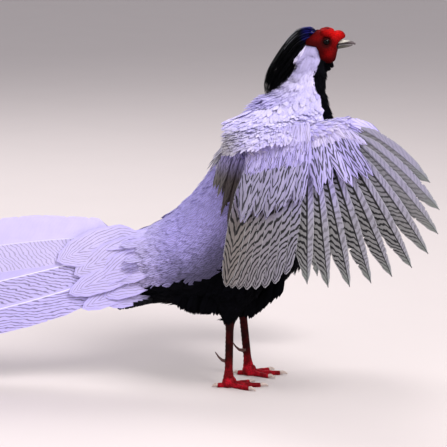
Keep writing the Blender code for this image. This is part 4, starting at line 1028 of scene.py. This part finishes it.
def face():
    """The bare red skin round the eyes, with tiny warts. Where feathers grow it sinks under them."""
    points, normals, quads = flesh_mesh(("head",), 0.0008, FACE_SMOOTHING)
    gap = bare_gap(points)
    sink = 0.004 * ease((0.0006 - gap) / 0.003)
    points = points + normals * (0.0014 - sink)[:, None]
    over = np.clip(points[:, 2] - FACE_TOP, 0, None)
    points[:, 2] = points[:, 2] - 0.55 * over
    far = np.interp(points[:, 2] + 0.19 * np.abs(points[:, 1]), *np.array(FACE_FRONT).T)
    points[:, 0] = points[:, 0] - 0.85 * np.clip(points[:, 0] - far, 0, None)
    warts = Shader("wattle_skin", 0.6, Specular_IOR_Level=0.03)
    place = warts.place()
    cells = warts.node("ShaderNodeTexVoronoi", {"Vector": place, "Scale": 820.0}).outputs["Distance"]
    patches = warts.noise(75.0, place)
    glow = warts.coat()
    tone = warts.mix(warts.step(patches, 0.35, 0.75), glow, warts.mix(0.35, glow, (0.05, 0.0005, 0.001)))
    tone = warts.mix(warts.step(cells, 0.3, 0.8), tone, warts.mix(0.55, tone, (0.04, 0.0, 0.0005)))
    warts.bump(warts.inverse(cells), 0.0007, 0.9)
    warts.colour(tone)
    flat = side_view(points)
    bright = sum(
        power * np.exp(-(((flat - centre) / size) ** 2).sum(1)) for centre, size, power in FACE_GLOW
    )
    colour = lerp(RED_DARK, RED_BRIGHT, np.clip(bright, 0, 1)[:, None])
    ring = np.linalg.norm(flat - np.array((EYE[0], EYE[2])), axis=1)
    colour = lerp(colour, np.array((0.01, 0.001, 0.001)), (0.92 * ease((0.0098 - ring) / 0.0034))[:, None])
    colour = lerp(colour, BLACK, ease((-0.0004 - gap) / 0.001)[:, None])
    obj = mesh_piece("bare_face", points, [quads], warts.material, "head_skin")
    put_vectors(obj.data, "coat", colour)
    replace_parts(obj, "head")


def closed_grid(name, grid, material, slot, *nodes, ring=False):
    """A closed tube, or a ring, through loops of points, rows by sides by 3, in place of the named nodes."""
    rows, sides = grid.shape[:2]
    i = np.arange(rows if ring else rows - 1)[:, None]
    i2 = (i + 1) % rows
    k = np.arange(sides)[None, :]
    k2 = (k + 1) % sides
    quads = stack(i * sides + k, i * sides + k2, i2 * sides + k2, i2 * sides + k).reshape(-1, 4)
    caps = [] if ring else [np.arange(sides)[None, ::-1], (rows - 1) * sides + np.arange(sides)[None, :]]
    obj = mesh_piece(name, grid.reshape(-1, 3), [quads, *caps], material, slot)
    shape = bmesh.new()
    shape.from_mesh(obj.data)
    bmesh.ops.recalc_face_normals(shape, faces=shape.faces)
    shape.to_mesh(obj.data)
    shape.free()
    if nodes:
        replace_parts(obj, *nodes)
    return obj


def eye(sign, side_name):
    """A black wet eyeball and the dark rims of its lids."""
    wet = Shader(f"eye_{side_name}_wet", 0.1, Specular_IOR_Level=0.08)
    x, _, z = wet.xyz()
    centre = EYE * (1, sign, 1)
    dx = wet.math("SUBTRACT", x, float((centre + SHIFT)[0]))
    dz = wet.math("SUBTRACT", z, float((centre + SHIFT)[2]))
    ring = wet.math("SQRT", wet.add(wet.times(dx, dx), wet.times(dz, dz)))
    wet.colour(wet.mix(wet.step(ring, 0.004, 0.0046), (0.0005, 0.0005, 0.0005), (0.01, 0.004, 0.003)))
    t = np.linspace(0, math.pi, 26)[1:-1, None]
    k = 2 * math.pi * np.arange(32)[None, :] / 32
    ball = stack(np.sin(t) * np.cos(k), np.cos(t), np.sin(t) * np.sin(k))
    closed_grid(
        f"eyeball_{side_name}", ball * (EYE_RADIUS - 0.0001) + centre, wet.material, "eye_gloss",
        f"eye_{side_name}"
    )
    rim = Shader(f"lid_{side_name}_skin", 0.6, Specular_IOR_Level=0.2)
    rim.bump(rim.noise(1500.0), 0.0003)
    rim.colour(rim.mix(rim.noise(400.0), (0.012, 0.002, 0.002), (0.07, 0.006, 0.006)))
    turn = 2 * math.pi * np.arange(48)[:, None] / 48
    round_ = 2 * math.pi * np.arange(8)[None, :] / 8
    out = stack(np.cos(turn), 0, 0.84 * np.sin(turn))
    middle = centre + (0, sign * 0.0034, 0) + out * 0.0054
    middle = middle - np.array((0, sign * 0.001, 0)) * np.abs(np.cos(turn))[..., None]
    tube = 0.0008 * (1 + 0.14 * np.sin(9 * turn))
    loop = middle + out * (tube * np.cos(round_))[..., None]
    loop = loop + np.array((0, sign * 1.3, 0)) * (tube * np.sin(round_))[..., None]
    closed_grid(f"lids_{side_name}", loop, rim.material, "head_skin", ring=True)


def horn_piece(node, voxel, material, slot, smoothing=4, swell=0.0, reshape=None):
    """A finer, softer copy of a horny node."""
    points, normals, quads = flesh_mesh((node,), voxel, smoothing)
    points = np.maximum(points + normals * swell, (-1, -1, 0))
    if reshape:
        points = reshape(points)
    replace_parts(mesh_piece(node + "_horn", points, [quads], material, slot), node)


def bill_shape(points):
    """The bill with its base set back into the face, and its upper half a little lower."""
    x, y, z = points.T
    gape = GAPE[1] + GAPE_SLOPE * (x - GAPE[0])
    z = np.where(z > gape, lerp(gape, z, 0.82), z)
    return stack(x - 0.0075 * ease((0.161 - x) / 0.013), y, z)


def bill():
    """Pale horn above and a yellow-green lip below, both dark along the cutting edge and at the tip."""
    for node, near_edge, far_edge, reach, line_up in (
        ("bill_upper", (0.035, 0.026, 0.028), (0.6, 0.57, 0.5), (0.0012, 0.0024), 1.0),
        ("bill_lower", (0.62, 0.64, 0.26), (0.045, 0.038, 0.03), (0.0016, 0.0026), -1.0)
    ):
        horn = Shader(node + "_horn", 0.38, Specular_IOR_Level=0.35)
        x, y, z = horn.xyz()
        tip = horn.step(x, float(SHIFT[0] + 0.15), float(SHIFT[0] + 0.17))
        gape = horn.math(
            "MULTIPLY_ADD", x, -GAPE_SLOPE, float(GAPE_SLOPE * (GAPE[0] + SHIFT[0]) - GAPE[1] - SHIFT[2])
        )
        above = horn.times(horn.add(z, gape), line_up)
        streak = horn.noise(1.0, horn.join(horn.times(x, 90.0), horn.times(y, 700.0), horn.times(z, 700.0)))
        base = horn.mix(horn.step(above, *reach), near_edge, far_edge)
        base = horn.mix(horn.times(streak, 0.5), base, horn.mix(0.5, base, (0.05, 0.05, 0.03)))
        edge = horn.inverse(horn.step(above, 0.0001, 0.0006))
        base = horn.mix(horn.times(edge, 0.9), base, (0.03, 0.022, 0.022))
        horn.bump(streak, 0.0002, 0.5)
        horn.colour(horn.mix(horn.times(tip, 0.85), base, (0.1, 0.075, 0.08)))
        horn_piece(node, 0.0004, horn.material, "bill_horn", reshape=bill_shape)


def crest():
    """Long narrow plumes from the crown, which arch back and hang behind the neck."""
    paint = Shader("crest_gloss", 0.5, Specular_IOR_Level=0.18)
    hue = paint.coat()
    x, _, z = paint.xyz()
    crown = paint.times(
        paint.step(x, float(SHIFT[0] + 0.086), float(SHIFT[0] + 0.096)),
        paint.step(z, float(SHIFT[2] + 0.508), float(SHIFT[2] + 0.518))
    )
    # The crown's blue gloss is a painted sheen: blue put into the base colour
    painted_blue_sheen = paint.times(crown, paint.step(paint.noise(160.0), 0.25, 0.6))
    paint.bump(barbs(paint), 0.00015, 0.8)
    paint.colour(paint.mix(painted_blue_sheen, hue, (0.008, 0.008, 0.16)))
    count, rows = CREST_PLUMES, 22
    depth = RNG.random(count)
    aside = RNG.uniform(-1, 1, count)
    reach = RNG.uniform(0.78, 1.0, count) * (1 - 0.06 * np.abs(aside))
    reach[: count // 8] *= RNG.uniform(0.4, 0.8, count // 8)
    start = RNG.uniform(0.0, 0.16, count)
    hairs = slice(count - CREST_HAIRS, None)
    start[hairs] = RNG.uniform(0.26, 0.34, CREST_HAIRS)
    reach[hairs] = start[hairs] + RNG.uniform(0.08, 0.16, CREST_HAIRS)
    depth[hairs] = RNG.uniform(-0.06, 0.1, CREST_HAIRS)
    t = start[:, None] + (reach - start)[:, None] * np.linspace(0, 1, rows)[None, :]
    inward = lerp(0.0, 1.24, depth) + 0.12 * aside**2 * (1 - depth)
    flat = lerp(spline(CREST_TOP, t), spline(CREST_LOW, t), inward[:, None, None])
    flat = lerp(lerp(flat, spline(CREST_TOP, t), 0.35), flat, ease(t / 0.16)[..., None])
    spread = CREST_SPREAD * aside[:, None] * (0.62 + 0.5 * np.sin(math.pi * t) - 0.2 * t) * 0.92
    phase = 7 * RNG.random((count, 1))
    wave = 0.0014 * np.sin(6 * t + phase) * t
    paths = stack(flat[..., 0] + wave, spread + wave, flat[..., 1] - 0.0012)
    roll = RNG.uniform(-0.6, 0.6, count)
    sides = stack(np.sin(roll) * 0.4, np.cos(roll), np.sin(roll))[:, None, :]
    grey = np.arange(count) >= count - CREST_HAIRS
    tone = np.where(grey[:, None], np.array((0.42, 0.42, 0.46)), np.array((0.003, 0.003, 0.004)))
    half = np.where(grey, 0.0004, RNG.uniform(0.001, 0.0021, count))
    sheaf = Sheaf()
    patch = stack(0.05 + 0.9 * depth, 0.5 + 0.45 * aside)
    sheaf.ribbons(paths, sides, half, PLUME_OUTLINE, fray=0.5, colour=tone, patch=patch)
    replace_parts(sheaf.build("crest_plumes", paint.material, "crest_plumes"), "crest")


def flight_row(sign):
    """Roots, tips and sideways directions of the flight feathers of one wing, from the innermost one."""
    elbow, wrist, tip = (np.array(p) * (1, sign, 1) for p in ARM[sign])
    u = ((np.arange(SECONDARIES) + 0.5) / SECONDARIES) ** CROWDING
    v = np.arange(PRIMARIES) / (PRIMARIES - 1)
    roots = np.vstack((lerp(elbow, wrist, u[:, None]), lerp(wrist, tip, 0.06 + 0.94 * v[:, None])))
    angles = np.radians(np.concatenate((lerp(*ARM_ANGLES[sign], u), lerp(*HAND_ANGLES[sign], v))))
    outer = np.clip((v - 0.5) / 0.5, 0, 1)
    arm = SECONDARY_LENGTH * (1 - INNER_SHORTENING * (1 - u) ** 3 - LAST_SECONDARY_SHORTENING * u**6)
    hand = PRIMARY_LENGTH * (1 - OUTER_SHORTENING * outer**2.3) * (1 - 0.07 * (1 - v) ** 5)
    lengths = np.concatenate((arm, hand))
    run = stack(np.sin(angles), sign * FLARE, -np.cos(angles)) * lengths[:, None]
    tips = roots + run
    total = roots + tips
    across = []
    for i in range(len(roots)):
        first, last = (0, SECONDARIES - 1) if i < SECONDARIES else (SECONDARIES, len(roots) - 1)
        across.append(total[min(i + 1, last)] - total[max(i - 1, first)])
    bend = unit(np.array(across)) * np.concatenate((0 * u, BOWING * v * v))[:, None]
    return roots, tips, unit(np.array(across)), bend


def between(row, places):
    """Roots, tips and sideways directions at fractional places along the row."""
    i = np.clip(places.astype(int), 0, len(row[0]) - 2)
    f = (places - i)[:, None]
    return lerp(row[0][i], row[0][i + 1], f), lerp(row[1][i], row[1][i + 1], f), row[2][i]


def atlas(count, columns):
    """Cells of an atlas for large feathers: the middle of each, and half the size of one."""
    i = np.arange(count)
    rows = -(-count // columns)
    middles = stack((i % columns + 0.5) / columns, (i // columns + 0.5) / rows)
    return middles, (0.46 / columns, 0.46 / rows)


def wing(sign, side_name):
    """The flight feathers of one wing, its coverts and the small feathers of its arm."""
    row = flight_row(sign)
    roots, tips, across, bend = row
    outward = unit(np.array((-0.35, sign * 0.85, 0.25)))
    hand = np.arange(PRIMARIES) / (PRIMARIES - 1)
    arm = np.arange(SECONDARIES) / (SECONDARIES - 1)
    blur = ease((hand - 0.55) / 0.35)
    groups = (
        (
            "secondaries", slice(0, SECONDARIES), SECONDARY_WEBS, FLIGHT_OUTLINE, SECONDARY_PAINT,
            lerp(GREY_TAN, GREY_LILAC, arm[:, None]), 1.0,
            stack(lerp(2.0, 1.5, arm), lerp(0.016, 0.0135, arm), 0.38)
        ),
        (
            "primaries", slice(SECONDARIES, None), PRIMARY_WEBS, PRIMARY_OUTLINE, PRIMARY_PAINT,
            lerp(GREY_LILAC, PALE_GREY, 0.3 + 0.3 * blur[:, None]), 1 - 0.62 * blur,
            stack(lerp(1.0, 1.4, hand), lerp(0.0108, 0.01, hand), 0.42 - 0.06 * hand)
        )
    )
    for name, part, webs, outline, material, colour, strength, bars in groups:
        sheaf = Sheaf()
        patch, size = atlas(len(roots[part]), 5)
        sheaf.add(
            roots[part], tips[part] - roots[part], across[part], norm(tips[part] - roots[part]),
            webs[0] * np.where((np.arange(len(roots)) == 0)[part], 0.72, 1.0), webs[1], outline, 110,
            FINE_ACROSS, (-0.5, 0, 0.5), curl=CURL, reach=PRIMARY_LENGTH, bend=bend[part],
            roll=FEATHER_ROLL[sign], facing=outward, camber=0.03, fray=0.3, thick=0.00045, rib=0.0005,
            colour=colour, strength=strength, bars=bars, patch=patch, patch_size=size
        )
        obj = sheaf.build(f"{name}_{side_name}", material, "flight_feathers", wing_tone)
        if name == "primaries":
            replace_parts(obj, "wing_" + side_name)
    wing_coverts(sign, side_name, row, outward)
    arm_feathers(sign, side_name, row, outward)


def wing_coverts(sign, side_name, row, outward):
    """Tiers of coverts over the bases of the flight feathers, outside and, fewer, inside."""
    for under in (False, True):
        sheaf = Sheaf()
        for tier, start, stop, count, length, half, back, lift, pale, strength, bars in COVERT_TIERS:
            if under:
                count, lift = count * 2 // 3, -0.8 * lift
            places = np.linspace(start, stop, count) + RNG.uniform(-0.12, 0.12, count)
            root, tip, across = between(row, np.clip(places, 0, len(row[0]) - 1.01))
            way = unit(unit(tip - root) + across * RNG.normal(0, 0.045, (count, 1)))
            shelf = 0.9 - 40 * back - (0.45 if under else 0)
            patch = stack(0.05 + 0.9 * places / 17, shelf)
            tone = wing_tone(root + way * length * (1, 1, 0.85) - (0.05, 0, 0), GREY_LILAC)
            tone = lerp(tone, WHITE, np.clip(pale + RNG.uniform(-0.2, 0.2, (count, 1)), 0, 1))
            flat_reach = PRIMARY_LENGTH if tier in ("greater", "primary") else length
            sheaf.add(
                root - way * back, way, across, length * RNG.uniform(0.88, 1.08, count), half * 1.05,
                half * 0.95, COVERT_OUTLINE, 22, COVERT_ACROSS, (0,),
                lift=lift + RNG.uniform(-0.0006, 0.0006, count), curl=-CURL + 1.2 if under else CURL + 1.2,
                reach=flat_reach, roll=FEATHER_ROLL[sign] * (-1 if under else 1) * 0.8, facing=outward,
                camber=0.1, fray=0.35, rib=0.0003, colour=tone * (0.85 if under else 1), strength=strength,
                bars=bars, patch=patch, patch_size=(0.01, 0.012)
            )
        joints = np.array(ARM[sign][1:]) * (1, sign, 1)
        u = np.linspace(0.35, 1.0, LEADING)[:, None]
        angle = np.radians(HAND_ANGLES[sign][1] + LEADING_TURN * lerp(1.35, 1.0, u[:, 0]))
        way = stack(np.sin(angle), 0.1 * sign, -np.cos(angle))
        side = stack(np.cos(angle), 0, np.sin(angle))
        sheaf.add(
            lerp(*joints, u) + np.array((0.0, 0.0, 0.003)) + outward * (-0.003 if under else 0.004), way,
            side, LEADING_LENGTH * lerp(0.75, 1.0, u[:, 0]), LEADING_HALF, LEADING_HALF, COVERT_OUTLINE, 26,
            COVERT_ACROSS, (0,), bend=side * 0.005, roll=0.3 if under else -0.3, facing=outward,
            camber=0.08, fray=0.25, rib=0.0003,
            colour=lerp(WHITE, LAVENDER, RNG.uniform(0.6, 1.2, (LEADING, 1))), strength=0.35,
            bars=(7.0, 0.028, 0.26), patch=stack(0.9 + 0.08 * u[:, 0], 0.47 if under else 0.92),
            patch_size=(0.01, 0.012)
        )
        sheaf.build(
            f"{'under_' if under else ''}coverts_{side_name}", COVERT_PAINT, "flight_feathers", covert_tone
        )


def wing_tone(points, coat):
    """Lavender near the arm, and the feather's own grey towards the tips and on the hand."""
    up = ease((points[:, 2:3] - 0.262) / 0.09) * (1 - 0.75 * ease((points[:, 0:1] - 0.115) / 0.06))
    return lerp(coat, LAVENDER, 0.8 * up)


def covert_tone(points, coat):
    """The coverts' own colour, duller towards the tips of the lowest ones."""
    low = ease((0.335 - points[:, 2:3]) / 0.065)
    return lerp(coat, np.array(GREY_LILAC) * 0.92, 0.85 * low)


def arm_feathers(sign, side_name, row, outward):
    """Small soft feathers all round the arm, from the shoulder to the hand's tip, and the arm under them."""
    joints = np.array((SHOULDER, *ARM[sign])) * (1, sign, 1)
    t = np.sort(RNG.random(ARM_FEATHERS))
    middle = spline(joints, t)
    ahead = unit(spline(joints, t + 0.01) - spline(joints, t - 0.01))
    down = unit(row[1].mean(0) - row[0].mean(0))
    away = unit(down - ahead * (down * ahead).sum(1, keepdims=True))
    out = np.cross(ahead, away)
    out = out * np.sign((out * outward).sum(1, keepdims=True))
    turn = RNG.uniform(-2.4, 2.4, (len(t), 1))
    normal = -away * np.cos(turn) + out * np.sin(turn)
    tangent = (away * np.sin(turn) + out * np.cos(turn)) * np.sign(turn)
    top = np.cos(turn).clip(0, 1)
    way = unit(tangent * 0.45 + away * (0.4 - 0.4 * top) + ahead * (0.6 + 0.8 * top) + normal * 0.02)
    way = unit(way + RNG.normal(0, 0.06, way.shape))
    length = np.interp(t * 3, range(4), (0.018, 0.017, 0.016, 0.012)) * RNG.uniform(0.8, 1.15, len(t))
    radius = np.interp(t * 3, range(4), ARM_RADII) * 0.8
    tone = lerp(WHITE, LAVENDER, RNG.random((len(t), 1)))
    sheaf = Sheaf()
    sheaf.add(
        middle + normal * radius[:, None], way, np.cross(normal, way), length, length * 0.17, length * 0.17,
        BODY_OUTLINE, 5, SOFT_ACROSS, curl=16.0, facing=normal, fray=0.45, thick=0.00025, colour=tone,
        strength=0.3, bars=(4.0, 0.012, 0.25), patch=stack(0.05 + 0.9 * t, 0.5 + turn[:, 0] / 6)
    )
    sheaf.build(f"arm_feathers_{side_name}", ARM_PAINT, "flight_feathers")
    down_paint = Shader(f"arm_down_{side_name}", 0.9, Specular_IOR_Level=0.1)
    down_paint.colour(down_paint.mix(down_paint.noise(200.0), WHITE, LAVENDER))
    stations = np.linspace(0, 1, 40)
    size = np.interp(stations * 3, range(4), ARM_RADII) * 0.82
    size = size * np.sqrt(np.clip(1 - (2 * np.abs(stations - 0.5)) ** 12, 0.02, 1))
    grid = tube_along(spline(joints, stations), lambda s, turn: (size[:, None] + 0 * turn,) * 2, 16)
    closed_grid(f"arm_{side_name}", grid, down_paint.material, "flight_feathers")


def tail():
    """The tail's flight feathers as a steep roof. Each shaft's parabola passes three given heights."""
    count = len(TAIL_SHAFTS)
    sign = np.repeat((-1.0, 1.0), count)
    k = np.tile(np.arange(count), 2)
    length, root_z, middle_z, tip_z, inner, outer, strength, steep, period = np.array(TAIL_SHAFTS)[k].T
    droop = ((middle_z - root_z) / TAIL_MIDDLE - (tip_z - root_z) / length) / (length - TAIL_MIDDLE)
    rise = (tip_z - root_z) / length + droop * length
    top = TAIL_SLOPE * (root_z[0] - root_z + (rise[0] - rise) * length - (droop[0] - droop) * length**2)
    aside = TAIL_ROOT_Y - TAIL_STEP_Y * k
    root = stack(TAIL_ROOT_X, sign * (aside + TAIL_SLOPE * (root_z[0] - root_z)), root_z)
    tip = stack(TAIL_ROOT_X - length, sign * (aside + top), tip_z)
    bend = stack(0, sign * TAIL_SLOPE * (droop[0] - droop), droop) * (length**2 / 4)[:, None]
    patch, size = atlas(2 * count, 4)
    sheaf = Sheaf()
    sheaf.add(
        root, tip - root, stack(0, sign * TAIL_SLOPE, -1), norm(tip - root),
        inner * np.where(sign < 0, 1.0, 0.92), outer, TAIL_OUTLINE, 170, FINE_ACROSS, (-0.5, 0, 0.5),
        bend=bend, slant=0.05, facing=stack(0, sign, 0.3), camber=0.03, fray=0.1, thick=0.00045, rib=0.0005,
        colour=lerp(TAIL_WHITE, LAVENDER, np.minimum(0.15 + 0.3 * k, 0.6)[:, None]), strength=strength,
        bars=stack(steep, period, 0.3), patch=patch, patch_size=size
    )
    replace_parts(sheaf.build("tail_feathers", TAIL_PAINT, "flight_feathers"), "tail")


def covert_depth(x, z):
    """How far from the middle the tail's coverts lie: on the rump in front, on the tail's roof behind."""
    v = np.clip((0.23 - z) / 0.072, 0, 1)
    rump = 0.01 + (0.017 + 0.39 * (x + 0.154)) * np.sin(math.pi * (0.12 + 0.8 * v))
    roof = TAIL_ROOT_Y + 0.003 + TAIL_SLOPE * (0.221 - z)
    return lerp(rump, roof, ease((-0.16 - x) / 0.05))


def rump_tone(points, coat):
    """The rump's whitened lavender in front, partly painted light as on the coat, and the feather's own
    colour behind.
    """
    rump = lerp(LAVENDER, TAIL_WHITE, 0.65)
    return lerp(rump, coat, ease((-0.135 - points[:, 0:1]) / 0.08))


def tail_coverts():
    """Broad feathers over the base of the tail, in layers."""
    root, tip = (np.array([row[i] for row in TAIL_COVERTS]) for i in (0, 1))
    half, white, strength = np.array([row[2:] for row in TAIL_COVERTS]).T
    n = len(half)
    sheaf = Sheaf()
    for sign in (-1, 1):
        start = stack(root[:, 0], sign * (covert_depth(*root.T) - 0.004), root[:, 1])
        drop = 0.006 if sign > 0 else 0.0
        end = stack(tip[:, 0], sign * (covert_depth(*tip.T) + 0.0002), tip[:, 1] - drop)
        start[:, 2] -= drop
        ridge = (root[:, 1] > 0.2255) & (tip[:, 1] > 0.205)
        tone = lerp(LAVENDER, TAIL_WHITE, white[:, None])
        patch, size = atlas(2 * n, 6)
        sheaf.add(
            start, end - start, stack(0, sign * np.where(ridge, 0.75, TAIL_SLOPE), -1), norm(end - start),
            half * (0.85 if sign > 0 else 1.0), half, BROAD_OUTLINE, 60, FINE_ACROSS, (0,),
            bend=np.array((0, sign * 0.002, 0.003)), facing=np.array((0, sign, 0.5)), camber=0.02,
            fray=0.06, thick=0.0002, rib=0.0003, colour=tone, strength=0.85 * strength,
            bars=(3.4, 0.0125, 0.28), patch=patch[:n] if sign < 0 else patch[n:], patch_size=size
        )
    sheaf.build("tail_coverts", TAIL_COVERT_PAINT, "flight_feathers", rump_tone)


def under_plumage():
    """The black wedge under the tail, and the loose feathers of thighs, belly and chin."""
    n = VENT_FEATHERS
    sign = np.where(np.arange(n) % 2, 1, -1)
    t, h = RNG.random((2, n))
    wide = 0.02 * h * (1 - 0.5 * t)
    root = stack(lerp(-0.07, -0.15, t), sign * wide, lerp(0.123, 0.14, h) - 0.002 * t)
    goal = stack(VENT_TIP[0], sign * 0.004 * h, VENT_TIP[1] + 0.008 * h)
    way = goal - root
    length = np.minimum(norm(way) * 0.93, 0.04) * RNG.uniform(0.8, 1.0, n)
    sheaf = Sheaf()

    def put(root, way, side, length, half, curl, facing, patch):
        sheaf.add(
            root, way, side, length, half, half, BODY_OUTLINE, 8, SOFT_ACROSS, curl=curl, facing=facing,
            fray=0.4, colour=BLACK, strength=0.0, patch=patch
        )

    put(
        root, unit(way) + RNG.normal(0, 0.02, (n, 3)), stack(0, sign, 0.5 - h), length, length * 0.13, 2.0,
        stack(0, sign * (0.2 + h), h - 0.7), stack(0.1 + 0.8 * t, 0.5 + 0.2 * sign * h)
    )
    n = FLUFF_FEATHERS
    sign = np.where(np.arange(n) % 2, 1, -1)
    t, h = RNG.random((2, n))
    x, y = lerp(FLUFF_BOTTOM[0][0], FLUFF_BOTTOM[-1][0], t), sign * lerp(0.004, 0.042, h)
    bottom = np.interp(x, *np.array(FLUFF_BOTTOM).T) + 0.2 * np.abs(y)
    tip = stack(x - 0.006, y * 1.02, bottom + 0.005 * RNG.random(n))
    root = stack(x + 0.004, y * 0.9, bottom + 0.034)
    length = norm(tip - root)
    put(
        root, tip - root + RNG.normal(0, 0.002, (n, 3)), np.array((1, 0, 0)), length, 0.0044, 3.0,
        stack(0, sign, 0), stack(0.1 + 0.8 * t, 0.5 + 0.45 * sign * h)
    )
    n = BEARD_FEATHERS
    t, h = RNG.random((2, n))
    side = RNG.uniform(-1, 1, n)
    root = stack(lerp(0.112, 0.1305, t), 0.01 * side, lerp(0.486, 0.4925, t) + 0.002 * h)
    goal = stack(lerp(0.113, 0.1375, t), 0.008 * side, lerp(0.462, 0.478, t) + 0.004 * h)
    length = norm(goal - root)
    put(
        root, goal - root + RNG.normal(0, 0.001, (n, 3)), np.array((1, 0, 0)), length, 0.0018, 8.0,
        stack(0, side, 0), stack(0.1 + 0.8 * t, 0.5 + 0.45 * side)
    )
    sheaf.build("under_plumes", VENT_PAINT, "dark_plumage")


def tube_along(path, sizes, sides, up=(0, 0, 1)):
    """Rings square to a path. sizes takes rows and angles and gives the sizes aside and above."""
    ahead = unit(np.gradient(path, axis=0))
    aside = unit(np.cross(np.asarray(up, float), ahead))
    above = np.cross(ahead, aside)
    turn = 2 * math.pi * np.arange(sides)[None, :] / sides
    wide, high = sizes(np.linspace(0, 1, len(path))[:, None], turn)
    ring = path[:, None] + aside[:, None] * (wide * np.cos(turn))[..., None]
    return ring + above[:, None] * (high * np.sin(turn))[..., None]


def shank_sizes(s, turn):
    """Half sizes of the shank, with stepped scutes in front, thicker at both joints."""
    ends = 1 + 0.42 * ease((0.22 - s) / 0.22) + 0.34 * ease((s - 0.78) / 0.22)
    step = 0.0007 * (1 - (s * SCUTES) % 1) * np.clip(-np.sin(turn), 0, 1)
    return 0.0045 * ends + step, 0.0058 * ends + step


def legs():
    """Bare shanks and toes with scales, claws and spurs."""
    scales = Shader("leg_scales", 0.5, Specular_IOR_Level=0.07)
    place = scales.place()
    plates = scales.node("ShaderNodeTexVoronoi", {"Vector": place, "Scale": 560.0}).outputs["Distance"]
    blotch = scales.noise(90.0, place)
    height = scales.node("ShaderNodeSeparateXYZ", {0: place}).outputs[2]
    toe_glow = scales.inverse(scales.step(height, 0.012, 0.05))
    deep = scales.mix(toe_glow, (0.01, 0.0003, 0.0004), (0.17, 0.002, 0.005))
    clear = scales.mix(toe_glow, (0.045, 0.0008, 0.001), (0.48, 0.006, 0.02))
    tone = scales.mix(scales.step(blotch, 0.35, 0.7), deep, clear)
    tone = scales.mix(scales.step(plates, 0.35, 0.8), tone, scales.mix(0.5, tone, (0.02, 0.0, 0.0)))
    scales.bump(scales.inverse(plates), 0.0005, 0.7)
    scales.colour(tone)
    horn = Shader("claw_horn", 0.45, Specular_IOR_Level=0.3)
    ridges = horn.noise(500.0)
    horn.bump(ridges, 0.0002, 0.5)
    horn.colour(horn.mix(ridges, (0.68, 0.57, 0.52), (0.34, 0.24, 0.2)))
    dark = Shader("spur_horn", 0.45, Specular_IOR_Level=0.2)
    dark.colour(dark.mix(dark.noise(500.0), (0.16, 0.08, 0.07), (0.035, 0.014, 0.014)))
    for sign, side_name in SIDES:
        top = np.array((SHANK_TOP_X[sign], sign * LEG_Y, HOCK_HEIGHT + 0.004))
        foot = np.array((SHANK_FOOT_X[sign], sign * LEG_Y, FOOT_HEIGHT * 0.6))
        path = lerp(foot, top, np.linspace(0, 1, 90)[:, None])
        grid = tube_along(path, shank_sizes, 20, (1, 0, 0))
        closed_grid(f"shank_skin_{side_name}", grid, scales.material, "leg_skin", f"shank_{side_name}")
        horn_piece(f"foot_{side_name}", 0.0007, scales.material, "leg_skin", 16, 0.0007)
        for toe in ("inner", "middle", "outer", "hind"):
            horn_piece(f"claw_{side_name}_{toe}", 0.00035, horn.material, "claw_horn", 4, 0.0008)
        horn_piece(f"spur_{side_name}", 0.0004, dark.material, "claw_horn", 4, 0.0005)


SECONDARY_PAINT = vane_material(
    "secondary_vane", (0.005, 0.004, 0.005), 0.75, (1.0, 1.0), (0.06, 0.05, 0.05), 0.0005, 0.0013,
    PALE_GREY, nest=(0.07, 0.3, 3.3)
)
PRIMARY_PAINT = vane_material(
    "primary_vane", (0.006, 0.005, 0.007), 1.0, (1.0, 0.45), (0.003, 0.002, 0.003), 0.0021, 0.0016,
    PALE_GREY, rim_share=0.55, nest=(0.06, 0.6, 2.2), tip=(0.19, 0.215, 0.195), tip_reach=0.036,
    inner=(0.165, 0.165, 0.14)
)
COVERT_PAINT = vane_material(
    "covert_vane", (0.01, 0.009, 0.014), 0.9, (1.0, 1.0), (0.08, 0.07, 0.1), 0.0004, 0.0009, LAVENDER, 0.3
)
MANTLE_PAINT = vane_material(
    "mantle_vane", (0.03, 0.028, 0.026), 1.0, (1.0, 1.0), (0.45, 0.4, 0.6), 0.0004, 0.0012, SNOW, 0.35
)
SCAPULAR_PAINT = vane_material(
    "scapular_vane", (0.012, 0.01, 0.01), 1.0, (1.0, 1.0), (0.1, 0.08, 0.07), 0.0004, 0.0009, GREY_TAN, 0.45
)
TAIL_PAINT = vane_material(
    "tail_vane", (0.13, 0.105, 0.19), 1.1, (0.05, 1.0), (0.86, 0.82, 0.98), 0.0011, 0.0014, TAIL_WHITE, 0.3
)
TAIL_COVERT_PAINT = vane_material(
    "tail_covert_vane", (0.14, 0.112, 0.21), 0.8, (1.0, 1.0), (0.5, 0.43, 0.8), 0.0004, 0.0036, LAVENDER,
    0.35, nest=(9.0, 0.55, 3.0)
)
ARM_PAINT = plumage_material("arm_plumes", 0.75, 0.4)
VENT_PAINT = plumage_material("vent_plumes", 0.75, gloss=0.02)

stage_and_light()
FLESH = skin()
coat(FLESH)
mantle(FLESH)
face()
bill()
crest()
for wing_sign, wing_name in SIDES:
    eye(wing_sign, wing_name)
    scapulars(wing_sign, wing_name)
    wing(wing_sign, wing_name)
    shawl(wing_sign, wing_name)
tail()
tail_coverts()
under_plumage()
legs()
